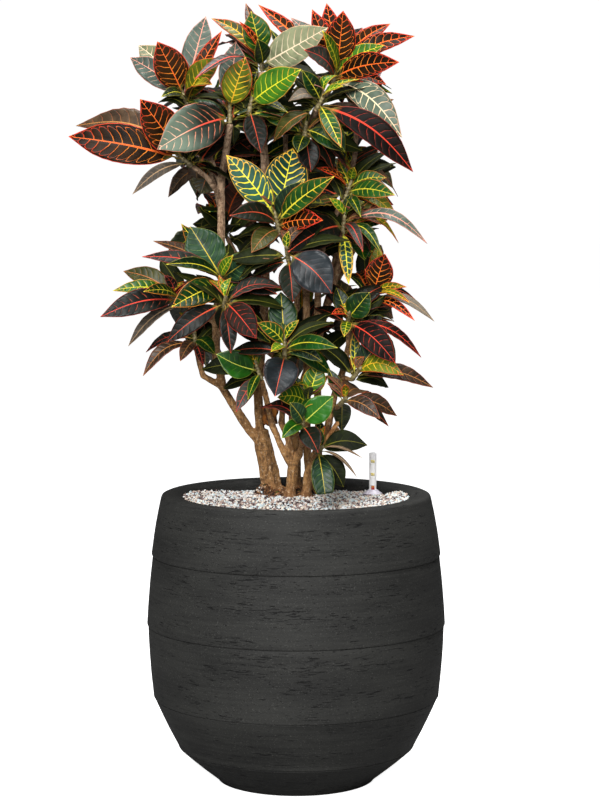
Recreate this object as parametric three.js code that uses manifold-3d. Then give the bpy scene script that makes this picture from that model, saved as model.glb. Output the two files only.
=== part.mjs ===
// Potted croton: a bushy variegated shrub in a dark barrel planter with a water-level gauge.
// Millimetres, +Z up. The origin is the middle of the planter's underside and the front faces -Y.

import * as THREE from 'three';
import { mergeVertices } from 'three/addons/utils/BufferGeometryUtils.js';
import Module from 'manifold-3d';

const wasm = await Module();
wasm.setup();

// ---------------------------------------------------------------- driving dimensions

const GAP = 0.3; // between pieces that rest on each other
const POT_HEIGHT = 386;
const POT_SIDES = 32;
const POT_WALL = 12.5;
const POT_FLOOR = 14;
const BASE_RADIUS = 108;
const RIM_RADIUS = 181;
const MOUTH_RADIUS = 149.5;
const LIP_DEPTH = 34;
const BAND_STEP = 1.4; // how far each band stands out over the next one down
const BAND_CROWN = 1.5; // how far a band bulges between its edges
const BAND_EDGES = [ // [radius, height] where one band meets the next, from the bottom up
  [159.5, 47],
  [192, 115],
  [200, 212],
  [193.6, 305.5],
];

const GRAVEL_LEVEL = 372; // at the gauge and at the back
const GRAVEL_DEPTH = 15;
const GRAVEL_HEAP = 6; // how much higher the gravel lies against the mound
const HEAP_REACH = 60;
const SIDE_BANK = 9; // how much higher it lies against the planter's wall at the left and the right
const GRAVEL_RELIEF = 1.9; // the surface rises and falls by this much
const GRAVEL_RINGS = 8;
const GRAVEL_SIDES = 40;
const MOUND_RADIUS = 52;
const MOUND_CENTRE = [-4, 34];
const MOUND_HEIGHT = 12; // above the gravel's level
const MOUND_SIDES = 24;

const FALSE_FLOOR_HEIGHT = 72;
const FALSE_FLOOR_THICKNESS = 6;
const SKIRT_RADIUS = 88;

const GAUGE_X = 105;
const GAUGE_Y = 80;
const GAUGE_TOP = 431;
const GAUGE_FOOT = 41.5; // where the planter's sloping wall leaves room for the tube
const GAUGE_RADIUS = 5;
const GAUGE_WALL = 1.2;
const COLLAR_RADIUS = 13.4;
const COLLAR_HEIGHT = 9.5;
const FLOAT_MARKER_TOP = 388;
const FLOAT_RADIUS = 3.1;

const ROOT_DEPTH = 300; // height at which a trunk's foot ends in the soil
const SOIL_SURFACE = 384;
const TWIG_SIDES = 5;
const SHOOT_RADIUS = 3.4;
const SHOOT_SIDES = 5;

const LEAF_STATIONS = [0, 0.16, 0.42, 0.74]; // where a leaf's outline has points, as shares of its length
const SHORT_LEAF_STATIONS = [0, 0.42, 0.74];
const BLADE_STATIONS = [0.3, 0.42, 0.74];
const LONG_LEAF = 125; // a leaf longer than this has the point at the end of its stalk
const STALK_SHARE = 0.12;
const STALK_HALF_WIDTH = 1.5;
const OUTLINE_SKEW = 0.9; // below 1 the widest part moves towards the root
const OUTLINE_FULLNESS = 0.7; // below 1 the outline is fuller than a sine
const FOLD = 0.2; // how steeply the halves rise from the midrib
const WAVE = 0.1; // how far an edge waves, as a share of the half width
const ARCH = 0.09; // how far the midrib bows towards its upper side, as a share of the length
const ARCH_SKEW = 0.8;
const RIB_HALF_THICKNESS = [1.3, 0.8]; // at the root and at the tip
const DEPTH_SPREAD = 1.6; // how much further the tips spread in depth than the table says
const ROOT_SPAN = [0.1, 0.62]; // the stretch of a shoot's stem that leaves grow from
const CLEARANCE = 0.7; // room a leaf needs all round

// The leaves that the rule adds.
const GOLDEN_ANGLE = 2.39996;
const ADDED_LENGTH = [82, 126];
const ADDED_WIDTH = [24, 44];
const ADDED_TILT = [1.15, -0.75]; // from the topmost leaf to the lowest, in radians above level
const ADDED_BEND = 10;
const BACK_DEPTH = 60; // a shoot further back than this faces the back
const LEAVES_PER_SHOOT = 40; // keeps the draws of two shoots apart
const FIRST_ADDED = 20;
const FOLIAGE_REACH = [ // [height, how far the foliage reaches to the left, and to the right]
  [430, 30, 60], [480, 60, 100], [540, 110, 130], [600, 150, 135], [650, 200, 120], [700, 190, 118],
  [750, 130, 120], [800, 130, 130], [850, 190, 135], [900, 190, 130], [950, 185, 120], [1000, 110, 110],
  [1040, 60, 70],
];

// Small swings tried in turn until a leaf is clear of its neighbours: [x, z, depth] added to its tip.
const SWINGS = [
  ...[0, -12, 12, -24, 24, -36, 36, -50, 50].map((depth) => [0, 0, depth]),
  ...[-14, 14, -34, 34].flatMap((depth) => [[0, 9, depth], [0, -9, depth], [9, 0, depth], [-9, 0, depth]]),
  ...[-18, 18, -44, 44].flatMap((depth) => [
    [12, 14, depth], [-12, 14, depth], [12, -14, depth], [-12, -14, depth],
  ]),
];

// The plant is laid out on the upright plane through the planter's axis. A point there is [x, z, depth]:
// depth is how far behind the plane it really lies, along the line from a standing viewer's eye.
const EYE_DISTANCE = 3073;
const EYE_HEIGHT = 795;

const place = ([x, z, depth]) => {
  const s = 1 + depth / EYE_DISTANCE;
  return new THREE.Vector3(x * s, depth, EYE_HEIGHT + (z - EYE_HEIGHT) * s);
};

// ---------------------------------------------------------------- the plant's table

const COLOUR = {
  ember: 0x6b3220,
  slate: 0x3b4145,
  sage: 0x7d9882,
  lime: 0x86a03a,
  forest: 0x28491f,
  gold: 0x6f8f3a,
  umber: 0x6a523c,
};

// One row for each leafy shoot: the middle of its green stem, the way it leans [x, z, depth], its length,
// how many leaves the rule adds behind the ones listed, and the leaves that give it its look. A leaf is
// [tip dx, tip dz, tip depth, width, face, bend]. face is how far its upper side turns to the front, from 1
// to -1, and bend is how far its middle rises above the straight line from root to tip.
const SHOOTS = {
  crown_left: {
    at: [-147, 911, 10], lean: [-0.4, 0.9, 0], length: 32, extra: 0, colour: COLOUR.sage,
    leaves: [
      [-60, 67, 24, 38, 0.8, 4], [-71, 51, 8, 34, 0.8, 2], [-35, 72, -20, 44, 0.85, 0],
      [29, 105, 22, 37, 0.8, 0], [50, 86, -6, 21, 0.6, 0], [49, 51, -26, 34, 0.7, 6],
      [37, 16, -44, 24, 0.6, 6], [-30, 0, -40, 18, 0.6, 6],
    ],
  },
  far_left: {
    at: [-147, 828, -20], lean: [-0.75, 0.6, -0.1], length: 27, extra: 1, colour: COLOUR.ember,
    leaves: [
      [-153, 31, -8, 52, 0.85, 2], [-143, 45, 26, 44, 0.6, 17], [-58, 80, -32, 50, 0.8, 0],
      [-69, -45, -20, 16, 0.75, 8],
    ],
  },
  crown_middle_left: {
    at: [-87, 891, -26], lean: [0, 1, -0.1], length: 31, extra: 1, colour: COLOUR.slate,
    leaves: [
      [-96, -49, -46, 60, 0.85, 4], [8, 92, 16, 37, 0.8, 0], [21, 72, -16, 39, 0.8, 0],
      [-34, -44, 10, 30, 0.5, 4],
    ],
  },
  crown_middle_right: {
    at: [-60, 899, -30], lean: [0.2, 0.95, -0.1], length: 25, extra: 1, colour: COLOUR.lime,
    leaves: [
      [67, 48, -34, 41, 0.8, 0], [50, -9, -34, 14, 0.4, 4], [14, -62, -26, 30, 0.6, 0],
      [-14, -50, 24, 28, 0.5, 0],
    ],
  },
  crown_middle: {
    at: [-45, 959, 0], lean: [0, 1, 0], length: 31, extra: 1, colour: COLOUR.gold,
    leaves: [
      [-14, 63, -10, 37, 0.8, 0], [-29, 50, -26, 14, 0.5, 0], [-5, 27, -30, 24, 0.7, 0],
      [-21, 74, 24, 16, 0.7, 0], [-66, 54, 8, 21, 0.6, 6], [87, 42, -36, 47, 0.85, -2],
      [-76, -39, -40, 18, 0.3, 10],
    ],
  },
  crown_right: {
    at: [53, 943, -8], lean: [0.3, 0.95, 0], length: 34, extra: 0, colour: COLOUR.ember,
    leaves: [
      [-32, 82, -6, 26, 0.8, 0], [-13, 90, 14, 26, 0.8, 0], [9, 80, -20, 40, 0.85, 0],
      [34, 58, 36, 30, 0.7, 0], [71, 63, 20, 22, 0.7, 6], [103, 47, 2, 27, 0.7, 8],
      [83, 13, -38, 34, 0.8, 4], [66, -16, -20, 26, 0.6, 6], [-18, 54, -44, 22, 0.6, 0],
      [63, 35, -28, 25, 0.7, 4], [-42, 29, -38, 29, 0.7, 6], [-60, 71, 10, 26, 0.7, 4],
      [87, -86, -38, 38, 0.85, 12], [-103, 88, 30, 22, 0.7, 0],
    ],
  },
  right_upper: {
    at: [32, 904, -52], lean: [0.4, 0.7, -0.5], length: 25, extra: 0, colour: COLOUR.sage,
    leaves: [
      [-24, 42, -16, 22, 0.7, 0], [30, 21, -22, 16, 0.5, 2], [123, -92, -10, 42, 0.8, 12],
      [28, -60, -36, 21, 0.7, 0], [33, -66, -6, 24, 0.6, 0], [-42, 1, -22, 18, 0.5, 8],
      [96, -62, 30, 22, -0.5, 14], [52, 30, 10, 14, 0.3, 4],
    ],
  },
  centre: {
    at: [-25, 747, -50], lean: [-0.15, 0.9, -0.3], length: 31, extra: 1, colour: COLOUR.gold,
    leaves: [
      [-67, 88, -6, 41, 0.85, 2], [21, 97, 18, 56, 0.85, 0], [34, 54, -22, 32, 0.8, 0],
      [76, 60, -34, 30, 0.7, 2], [61, 2, -30, 30, 0.7, 2], [-63, 8, -34, 29, 0.7, 8],
      [-34, -41, -30, 29, 0.6, 4],
    ],
  },
  upper_left: {
    at: [-116, 822, 42], lean: [-0.3, 0.85, 0.3], length: 24, extra: 1, colour: COLOUR.umber,
    leaves: [
      [-10, -39, -30, 39, -0.7, 0], [30, -9, -20, 18, 0.5, 6], [-53, -43, -14, 22, -0.6, 6],
      [-2, -62, 10, 22, 0.6, 0],
    ],
  },
  left_middle: {
    at: [-98, 671, -48], lean: [-0.1, 0.75, -0.5], length: 31, extra: 0, colour: COLOUR.forest,
    leaves: [
      [-42, 70, -2, 52, 0.85, 0], [-54, 74, 30, 22, 0.7, 0], [-91, 51, 10, 21, 0.5, 6],
      [-106, 30, -14, 22, 0.6, 8], [-74, 20, -34, 19, 0.6, 6], [-67, -37, -44, 36, 0.8, 2],
      [15, 32, -30, 16, 0.7, 0], [48, 33, -16, 34, 0.8, 0], [28, -5, -40, 20, 0.5, 4],
      [74, -20, -30, 27, 0.7, 6],
    ],
  },
  left_outer: {
    at: [-156, 644, 0], lean: [-0.8, 0.5, -0.2], length: 24, extra: 1, colour: COLOUR.slate,
    leaves: [
      [-73, 38, 10, 29, 0.7, 6], [-87, 12, -14, 21, 0.6, 6], [-46, 11, -36, 20, 0.6, 4],
      [-104, -23, -20, 33, 0.8, 8], [-67, -62, -10, 17, 0.5, 6],
    ],
  },
  left_low: {
    at: [-134, 591, 28], lean: [-0.1, 1, -0.1], length: 21, extra: 1, colour: COLOUR.umber,
    leaves: [
      [-70, -49, -20, 19, 0.5, 12], [-66, -17, 10, 16, 0.5, 8], [-20, -29, -30, 18, 0.6, 4],
      [27, -20, -30, 20, 0.6, 4], [11, -35, -10, 12, 0.5, 2],
    ],
  },
  left_inner: {
    at: [-94, 640, -84], lean: [0.1, 0.5, -0.8], length: 21, extra: 1, colour: COLOUR.slate,
    leaves: [
      [42, -48, -24, 36, 0.85, 2], [40, -8, 10, 25, 0.7, 4], [8, -68, -14, 22, 0.7, 0],
      [-78, -53, -12, 28, 0.8, 4],
    ],
  },
  low_left: {
    at: [-49, 547, -40], lean: [-0.3, 0.9, -0.2], length: 22, extra: 1, colour: COLOUR.forest,
    leaves: [
      [-57, 25, -14, 36, 0.8, -4], [-77, 4, 6, 29, 0.7, 6], [-31, -53, -26, 20, 0.7, 6],
      [-15, -36, -34, 13, 0.5, 2],
    ],
  },
  centre_low: {
    at: [-15, 581, -70], lean: [0, 0.95, -0.2], length: 28, extra: 1, colour: COLOUR.slate,
    leaves: [
      [-5, 74, 10, 37, 0.85, 0], [-37, 33, -16, 21, 0.7, 4], [-18, -6, -34, 14, 0.6, 2],
      [71, -1, -34, 22, 0.7, 6], [66, 33, 0, 14, 0.6, 6], [51, -20, -14, 20, 0.6, 6],
      [-13, -66, -22, 45, 0.85, 0],
    ],
  },
  right_middle: {
    at: [63, 743, -14], lean: [0.1, 0.95, -0.2], length: 27, extra: 0, colour: COLOUR.slate,
    leaves: [
      [111, -25, -20, 17, 0.6, 20], [73, -24, 14, 12, 0.5, 18], [51, -40, -34, 15, 0.6, 14],
      [26, -36, -44, 15, 0.7, 8], [36, -37, 6, 13, 0.6, 12], [50, 0, -10, 13, 0.5, 8],
      [-74, -36, -52, 45, 0.85, 6], [7, -79, -20, 18, 0.6, 0],
    ],
  },
  right_high: {
    at: [69, 789, 12], lean: [0.3, 0.9, 0], length: 29, extra: 0, colour: COLOUR.lime,
    leaves: [
      [66, -9, 24, 19, 0.5, 24], [51, 16, -10, 21, 0.6, 4], [62, -7, -34, 27, 0.75, 4],
      [66, -40, -14, 20, 0.6, 10], [17, -36, -44, 14, 0.6, 4], [-13, 42, 0, 18, 0.7, 0],
      [-42, 29, -20, 14, 0.5, 4], [60, -20, 14, 24, 0.6, 4],
    ],
  },
  right_outer: {
    at: [101, 649, -12], lean: [0.4, 0.85, 0], length: 27, extra: 1, colour: COLOUR.ember,
    leaves: [
      [17, 56, -10, 37, 0.85, 0], [8, 69, 26, 20, 0.7, 0], [46, 12, -22, 12, 0.6, 4],
      [57, -4, 10, 12, 0.5, 8], [50, -9, -44, 12, 0.5, 6], [83, -34, -20, 13, 0.6, 12],
      [57, -33, -34, 13, 0.6, 8],
    ],
  },
  right_inner: {
    at: [69, 617, -70], lean: [0.1, 0.6, -0.7], length: 24, extra: 1, colour: COLOUR.forest,
    leaves: [
      [29, 37, -14, 33, 0.8, 0], [-16, 44, 4, 21, 0.7, 0], [98, -50, 4, 17, 0.5, 10],
      [64, -58, -24, 34, 0.85, 6], [-5, -22, -30, 14, 0.5, 0], [-22, 8, -20, 12, 0.5, 4],
    ],
  },
  right_low: {
    at: [79, 544, -62], lean: [0.4, 0.6, -0.6], length: 22, extra: 1, colour: COLOUR.umber,
    leaves: [
      [37, 52, 0, 34, 0.8, 0], [-1, 62, 10, 13, 0.6, 0], [65, -1, -20, 27, 0.7, 14],
      [104, -17, 4, 25, 0.6, 10],
    ],
  },
  right_lower: {
    at: [62, 508, -84], lean: [0.3, 0.4, -0.8], length: 21, extra: 1, colour: COLOUR.umber,
    leaves: [
      [73, -19, 10, 25, 0.6, 8], [51, -23, -24, 22, 0.7, 6], [62, -33, -4, 16, 0.5, 6],
      [-19, 45, 4, 17, 0.7, 0],
    ],
  },
  low_centre: {
    at: [9, 479, -80], lean: [0, 0.7, -0.6], length: 21, extra: 1, colour: COLOUR.lime,
    leaves: [
      [41, 37, -10, 34, 0.85, 0], [-28, -20, -26, 19, 0.7, 4], [-17, 28, -16, 24, 0.7, 0],
      [21, -39, -22, 28, 0.8, 2],
    ],
  },
  low_upright: {
    at: [16, 509, -50], lean: [0.1, 0.95, -0.1], length: 20, extra: 1, colour: COLOUR.gold,
    leaves: [
      [15, 51, 0, 30, 0.85, 0], [-41, 5, -24, 29, 0.75, 6], [-23, 36, 4, 14, 0.6, 0],
      [3, 20, -24, 13, 0.5, 0],
    ],
  },
  lowest_right: {
    at: [31, 443, -62], lean: [0.3, 0.4, -0.8], length: 20, extra: 0, colour: COLOUR.forest,
    leaves: [
      [65, 7, -10, 29, 0.75, 8], [8, -59, -20, 29, 0.85, 2], [33, -50, -4, 25, 0.8, 4],
      [51, -36, -20, 12, 0.5, 6], [58, -10, -30, 14, 0.5, 4],
    ],
  },
  inner_right: {
    at: [12, 866, -30], lean: [0.1, 0.8, -0.3], length: 17, extra: 0, colour: COLOUR.forest,
    leaves: [
      [52, -27, -30, 24, 0.7, 2], [8, -54, -8, 30, 0.6, 0], [38, -52, 12, 28, 0.5, 4], [-22, -42, 0, 22, 0.5, 0],
    ],
  },
  heart: {
    at: [-11, 703, -84], lean: [-0.1, 0.6, -0.7], length: 22, extra: 0, colour: COLOUR.slate,
    leaves: [
      [59, -51, -26, 52, 0.9, 6], [7, -63, -10, 32, 0.85, 2],
    ],
  },
  back_crown_left: {
    at: [-104, 880, 70], lean: [-0.2, 0.9, 0.3], length: 31, extra: 5, colour: COLOUR.sage,
    leaves: [],
  },
  back_crown_middle: {
    at: [-14, 900, 74], lean: [0, 1, 0.2], length: 32, extra: 5, colour: COLOUR.lime,
    leaves: [],
  },
  back_crown_right: {
    at: [84, 884, 66], lean: [0.3, 0.9, 0.2], length: 31, extra: 5, colour: COLOUR.ember,
    leaves: [],
  },
  back_high_left: {
    at: [-62, 822, 98], lean: [-0.2, 0.8, 0.5], length: 28, extra: 5, colour: COLOUR.slate,
    leaves: [],
  },
  back_high_right: {
    at: [66, 812, 98], lean: [0.2, 0.8, 0.5], length: 28, extra: 5, colour: COLOUR.gold,
    leaves: [],
  },
  back_left: {
    at: [-100, 735, 84], lean: [-0.6, 0.6, 0.4], length: 28, extra: 5, colour: COLOUR.ember,
    leaves: [],
  },
  back_middle: {
    at: [4, 745, 124], lean: [0, 0.7, 0.7], length: 28, extra: 5, colour: COLOUR.forest,
    leaves: [],
  },
  back_right: {
    at: [88, 724, 84], lean: [0.6, 0.6, 0.4], length: 28, extra: 5, colour: COLOUR.sage,
    leaves: [],
  },
  back_low_left: {
    at: [-92, 618, 92], lean: [-0.5, 0.6, 0.5], length: 27, extra: 5, colour: COLOUR.gold,
    leaves: [],
  },
  back_low_right: {
    at: [84, 604, 78], lean: [0.6, 0.5, 0.5], length: 27, extra: 5, colour: COLOUR.umber,
    leaves: [],
  },
  back_lowest: {
    at: [6, 600, 116], lean: [0, 0.5, 0.8], length: 25, extra: 5, colour: COLOUR.slate,
    leaves: [],
  },
};

// One entry for each trunk: foot is where it stands in the soil [x, depth, radius]. Each limb has its radius
// at both ends, the points it runs through and, where it carries one, the name of the shoot it ends in.
const TRUNKS = {
  trunk_left: {
    foot: [-31, 52, 17],
    limbs: [
      {
        radii: [15.5, 11.5],
        path: [
          [-31, 380, 52], [-37, 415, 50], [-45, 452, 47], [-48, 470, 45],
        ],
      },
      {
        radii: [7.5, 4], to: 'left_low',
        path: [
          [-46, 452, 46], [-62, 470, 41], [-84, 504, 33], [-99, 529, 26], [-124, 543, 24],
        ],
      },
      {
        radii: [7, 5.4], to: 'crown_middle',
        path: [
          [-47, 455, 46], [-51, 517, 45], [-46, 584, 42], [-41, 644, 36], [-40, 730, 30],
          [-41, 822, 20], [-45, 878, 14],
        ],
      },
      {
        radii: [4, 3.4], to: 'crown_middle_right',
        path: [
          [-43, 840, 17], [-54, 860, 0],
        ],
      },
      {
        radii: [6.2, 5], to: 'crown_middle_left',
        path: [
          [-97, 526, 27], [-106, 569, 20], [-106, 628, 12], [-98, 671, 3], [-99, 730, 8],
          [-99, 800, 12], [-92, 841, -4],
        ],
      },
      {
        radii: [4, 3.4], to: 'crown_left',
        path: [
          [-99, 796, 12], [-111, 826, 15], [-128, 866, 14],
        ],
      },
      {
        radii: [3.8, 3.4], to: 'far_left',
        path: [
          [-99, 776, 11], [-108, 792, -4], [-118, 806, -14],
        ],
      },
      {
        radii: [3.6, 3.4], to: 'upper_left',
        path: [
          [-99, 752, 9], [-103, 778, 26],
        ],
      },
      {
        radii: [3.8, 3.4], to: 'left_middle',
        path: [
          [-98, 640, 8], [-98, 650, -14],
        ],
      },
      {
        radii: [3.8, 3.4], to: 'left_outer',
        path: [
          [-106, 612, 14], [-124, 624, 8],
        ],
      },
      {
        radii: [3.8, 3.4], to: 'left_inner',
        path: [
          [-106, 588, 17], [-100, 606, -20], [-96, 624, -50],
        ],
      },
    ],
  },
  trunk_front: {
    foot: [-9, -4, 8.5],
    limbs: [
      {
        radii: [7.8, 7],
        path: [
          [-9, 380, -4], [-5, 417, -8], [-3, 432, -10],
        ],
      },
      {
        radii: [5.2, 3.6], to: 'low_left',
        path: [
          [-4, 420, -9], [-14, 436, -14], [-32, 477, -20], [-39, 510, -28],
        ],
      },
      {
        radii: [5.2, 3.8], to: 'centre_low',
        path: [
          [-3, 425, -10], [-10, 457, -18], [-19, 480, -26], [-17, 515, -42], [-16, 540, -54],
        ],
      },
      {
        radii: [4.6, 3.6], to: 'low_centre',
        path: [
          [-3, 422, -10], [5, 436, -24], [8, 450, -42],
        ],
      },
      {
        radii: [4.2, 3.6], to: 'low_upright',
        path: [
          [-2, 424, -10], [7, 448, -20], [13, 476, -38],
        ],
      },
    ],
  },
  trunk_right: {
    foot: [13, -1, 7.5],
    limbs: [
      {
        radii: [7, 6],
        path: [
          [13, 380, -1], [16, 410, -3], [22, 432, -7], [31, 448, -11],
        ],
      },
      {
        radii: [4.4, 3.6], to: 'lowest_right',
        path: [
          [22, 430, -8], [29, 436, -26],
        ],
      },
      {
        radii: [5.4, 4], to: 'right_outer',
        path: [
          [29, 444, -10], [43, 477, -15], [51, 517, -18], [62, 548, -20], [69, 580, -22],
          [80, 612, -20],
        ],
      },
      {
        radii: [5, 4.6],
        path: [
          [27, 442, -10], [42, 458, -18], [56, 473, -24],
        ],
      },
      {
        radii: [3.8, 3.4], to: 'right_inner',
        path: [
          [69, 575, -22], [70, 594, -40],
        ],
      },
      {
        radii: [3.8, 3.4], to: 'right_low',
        path: [
          [58, 536, -20], [66, 540, -38],
        ],
      },
      {
        radii: [3.8, 3.4], to: 'right_lower',
        path: [
          [47, 497, -17], [54, 500, -44],
        ],
      },
    ],
  },
  trunk_pair: {
    foot: [24, 46, 11],
    limbs: [
      {
        radii: [5.8, 4.2], to: 'crown_right',
        path: [
          [20, 380, 46], [15, 430, 44], [14, 584, 37], [13, 687, 34], [12, 780, 30], [14, 860, 18],
          [26, 893, 4],
        ],
      },
      {
        radii: [4, 3.4], to: 'right_upper',
        path: [
          [16, 868, 15], [24, 884, -14],
        ],
      },
      {
        radii: [4, 3.4], to: 'inner_right',
        path: [
          [12, 806, 27], [12, 834, 2],
        ],
      },
      {
        radii: [4, 3.6], to: 'centre',
        path: [
          [12, 700, 33], [-2, 712, 0], [-14, 722, -28],
        ],
      },
      {
        radii: [4, 3.6], to: 'heart',
        path: [
          [13, 655, 35], [6, 670, -10], [-6, 684, -52],
        ],
      },
      {
        radii: [5.8, 4.2], to: 'right_high',
        path: [
          [27, 380, 47], [30, 430, 47], [28, 584, 44], [29, 687, 42], [40, 735, 36], [56, 763, 22],
        ],
      },
      {
        radii: [4.8, 3.8], to: 'right_middle',
        path: [
          [28, 575, 44], [34, 610, 32], [49, 657, 16], [59, 700, 2],
        ],
      },
    ],
  },
  trunk_back: {
    foot: [0, 74, 9],
    limbs: [
      {
        radii: [8.4, 7.4],
        path: [
          [0, 380, 74], [-2, 440, 77], [-4, 505, 80],
        ],
      },
      {
        radii: [5.6, 3.8], to: 'back_high_left',
        path: [
          [-4, 495, 80], [-28, 570, 84], [-48, 650, 86], [-56, 740, 88],
        ],
      },
      {
        radii: [4.2, 3.6], to: 'back_left',
        path: [
          [-48, 645, 86], [-72, 690, 86],
        ],
      },
      {
        radii: [4.2, 3.6], to: 'back_low_left',
        path: [
          [-26, 565, 84], [-56, 590, 86],
        ],
      },
      {
        radii: [4.2, 3.6], to: 'back_crown_left',
        path: [
          [-55, 725, 88], [-80, 780, 80], [-96, 830, 72],
        ],
      },
      {
        radii: [5.6, 3.8], to: 'back_high_right',
        path: [
          [-3, 498, 80], [24, 580, 84], [46, 660, 88], [58, 740, 90],
        ],
      },
      {
        radii: [4.2, 3.6], to: 'back_right',
        path: [
          [46, 655, 88], [66, 690, 86],
        ],
      },
      {
        radii: [4.2, 3.6], to: 'back_low_right',
        path: [
          [22, 572, 84], [54, 586, 80],
        ],
      },
      {
        radii: [4.2, 3.6], to: 'back_crown_right',
        path: [
          [57, 728, 90], [70, 790, 80], [78, 838, 70],
        ],
      },
      {
        radii: [5, 3.8], to: 'back_middle',
        path: [
          [-4, 500, 81], [0, 600, 92], [2, 690, 102],
        ],
      },
      {
        radii: [4, 3.6], to: 'back_lowest',
        path: [
          [-3, 540, 86], [2, 570, 98],
        ],
      },
      {
        radii: [4.2, 3.8], to: 'back_crown_middle',
        path: [
          [1, 672, 100], [-8, 760, 92], [-14, 840, 80],
        ],
      },
    ],
  },
};

// ---------------------------------------------------------------- solids

// A repeatable number from 0 to 1 for a pair of whole numbers.
const chance = (i, j) => {
  const wave = Math.sin(i * 12.9898 + j * 78.233) * 43758.5453;
  return wave - Math.floor(wave);
};

const between = ([low, high], share) => low + (high - low) * share;

// Merges shared vertices, drops empty triangles and turns the faces outwards.
const closed = (geometry) => {
  const bare = geometry.clone();
  for (const name of Object.keys(bare.attributes)) {
    if (name !== 'position') bare.deleteAttribute(name);
  }
  const merged = mergeVertices(bare, 1e-3);
  const corners = merged.index.array;
  const p = (i) => new THREE.Vector3().fromBufferAttribute(merged.attributes.position, i);
  const kept = [];
  let volume = 0;
  for (let i = 0; i < corners.length; i += 3) {
    const [a, b, c] = [corners[i], corners[i + 1], corners[i + 2]];
    if (a === b || b === c || c === a) continue;
    kept.push(a, b, c);
    volume += p(a).dot(p(b).cross(p(c)));
  }
  if (volume < 0) {
    for (let i = 0; i < kept.length; i += 3) [kept[i], kept[i + 1]] = [kept[i + 1], kept[i]];
  }
  merged.setIndex(kept);
  return merged;
};

const toSolid = (geometry) => {
  const body = closed(geometry);
  const vertProperties = new Float32Array(body.attributes.position.array);
  const triVerts = new Uint32Array(body.index.array);
  return new wasm.Manifold(new wasm.Mesh({ numProp: 3, vertProperties, triVerts }));
};

const toGeometry = (solid) => {
  const { vertProperties, triVerts } = solid.getMesh();
  const geometry = new THREE.BufferGeometry();
  geometry.setAttribute('position', new THREE.BufferAttribute(new Float32Array(vertProperties), 3));
  geometry.setIndex([...triVerts]);
  return geometry;
};

const joinAll = (solids) => solids.reduce((whole, next) => whole.add(next));

// A profile of [radius, height] points turned about the Z axis.
const turned = (profile, sides) => {
  const points = profile.map(([r, z]) => new THREE.Vector2(r, z));
  return closed(new THREE.LatheGeometry(points, sides).rotateX(Math.PI / 2));
};

const uprightRod = (radius, bottom, top, sides = 12) => {
  const rod = new THREE.CylinderGeometry(radius, radius, top - bottom, sides);
  return rod.rotateX(Math.PI / 2).translate(0, 0, (top + bottom) / 2);
};

// A skin over rings of points, closed by a flat end and by a flat end or a point.
const skin = (rings, point = null) => {
  const sides = rings[0].length;
  const vertices = rings.flat();
  const faces = [];
  for (let k = 0; k + 1 < rings.length; k += 1) {
    for (let i = 0; i < sides; i += 1) {
      const j = (i + 1) % sides;
      const [a, b, c, d] = [k * sides + i, k * sides + j, (k + 1) * sides + j, (k + 1) * sides + i];
      // A quad is split from its even corner, which splits a leaf's two faces alike.
      if (i % 2 === 0) faces.push(a, b, c, a, c, d);
      else faces.push(a, b, d, b, c, d);
    }
  }
  for (let i = 1; i + 1 < sides; i += 1) faces.push(0, i + 1, i);
  const last = (rings.length - 1) * sides;
  if (point) {
    vertices.push(point);
    for (let i = 0; i < sides; i += 1) faces.push(last + i, last + ((i + 1) % sides), vertices.length - 1);
  } else {
    for (let i = 1; i + 1 < sides; i += 1) faces.push(last, last + i, last + i + 1);
  }
  const geometry = new THREE.BufferGeometry().setFromPoints(vertices);
  geometry.setIndex(faces);
  return closed(geometry);
};

const ringAbout = (centre, axis, radius, sides) => {
  const turn = new THREE.Quaternion().setFromUnitVectors(new THREE.Vector3(0, 0, 1), axis);
  return Array.from({ length: sides }, (_, i) => {
    const angle = (2 * Math.PI * i) / sides;
    const spoke = new THREE.Vector3(Math.cos(angle) * radius, Math.sin(angle) * radius, 0);
    return spoke.applyQuaternion(turn).add(centre);
  });
};

// ---------------------------------------------------------------- planter, soil and gravel

const bandCrown = ([r0, z0], [r1, z1]) => [(r0 + r1) / 2 + BAND_CROWN, (z0 + z1) / 2];

const potOutline = () => {
  const outline = [[0, 0], [BASE_RADIUS - 6, 0], [BASE_RADIUS, 4]];
  let below = [BASE_RADIUS, 4];
  for (const [radius, height] of BAND_EDGES) {
    outline.push(bandCrown(below, [radius, height]), [radius - BAND_STEP, height - 1], [radius, height + 1]);
    below = [radius, height];
  }
  const shoulder = [RIM_RADIUS, POT_HEIGHT - 6];
  outline.push(bandCrown(below, shoulder), shoulder, [RIM_RADIUS - 4, POT_HEIGHT]);
  return outline;
};

const potInside = () => {
  const walls = BAND_EDGES.map(([radius, height]) => [radius - POT_WALL, height]).reverse();
  return [
    [MOUTH_RADIUS + 3, POT_HEIGHT - 3],
    [MOUTH_RADIUS, POT_HEIGHT - 7],
    [MOUTH_RADIUS, POT_HEIGHT - LIP_DEPTH],
    [RIM_RADIUS - POT_WALL + 6, POT_HEIGHT - LIP_DEPTH - 6],
    ...walls,
    [BASE_RADIUS - POT_WALL, POT_FLOOR],
    [0, POT_FLOOR],
  ];
};

const potGeometry = () => turned([...potOutline(), ...potInside()], POT_SIDES);

const falseFloorTop = FALSE_FLOOR_HEIGHT + FALSE_FLOOR_THICKNESS;

// The radius of the planter's inner wall at a height above the floor.
const innerRadius = (height) => {
  const walls = [[BASE_RADIUS - POT_WALL, POT_FLOOR], ...BAND_EDGES.map(([r, z]) => [r - POT_WALL, z])];
  for (let i = 0; i + 1 < walls.length; i += 1) {
    const [[r0, z0], [r1, z1]] = [walls[i], walls[i + 1]];
    if (height <= z1) return r0 + ((r1 - r0) * (height - z0)) / (z1 - z0);
  }
  return walls[walls.length - 1][0];
};

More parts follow.
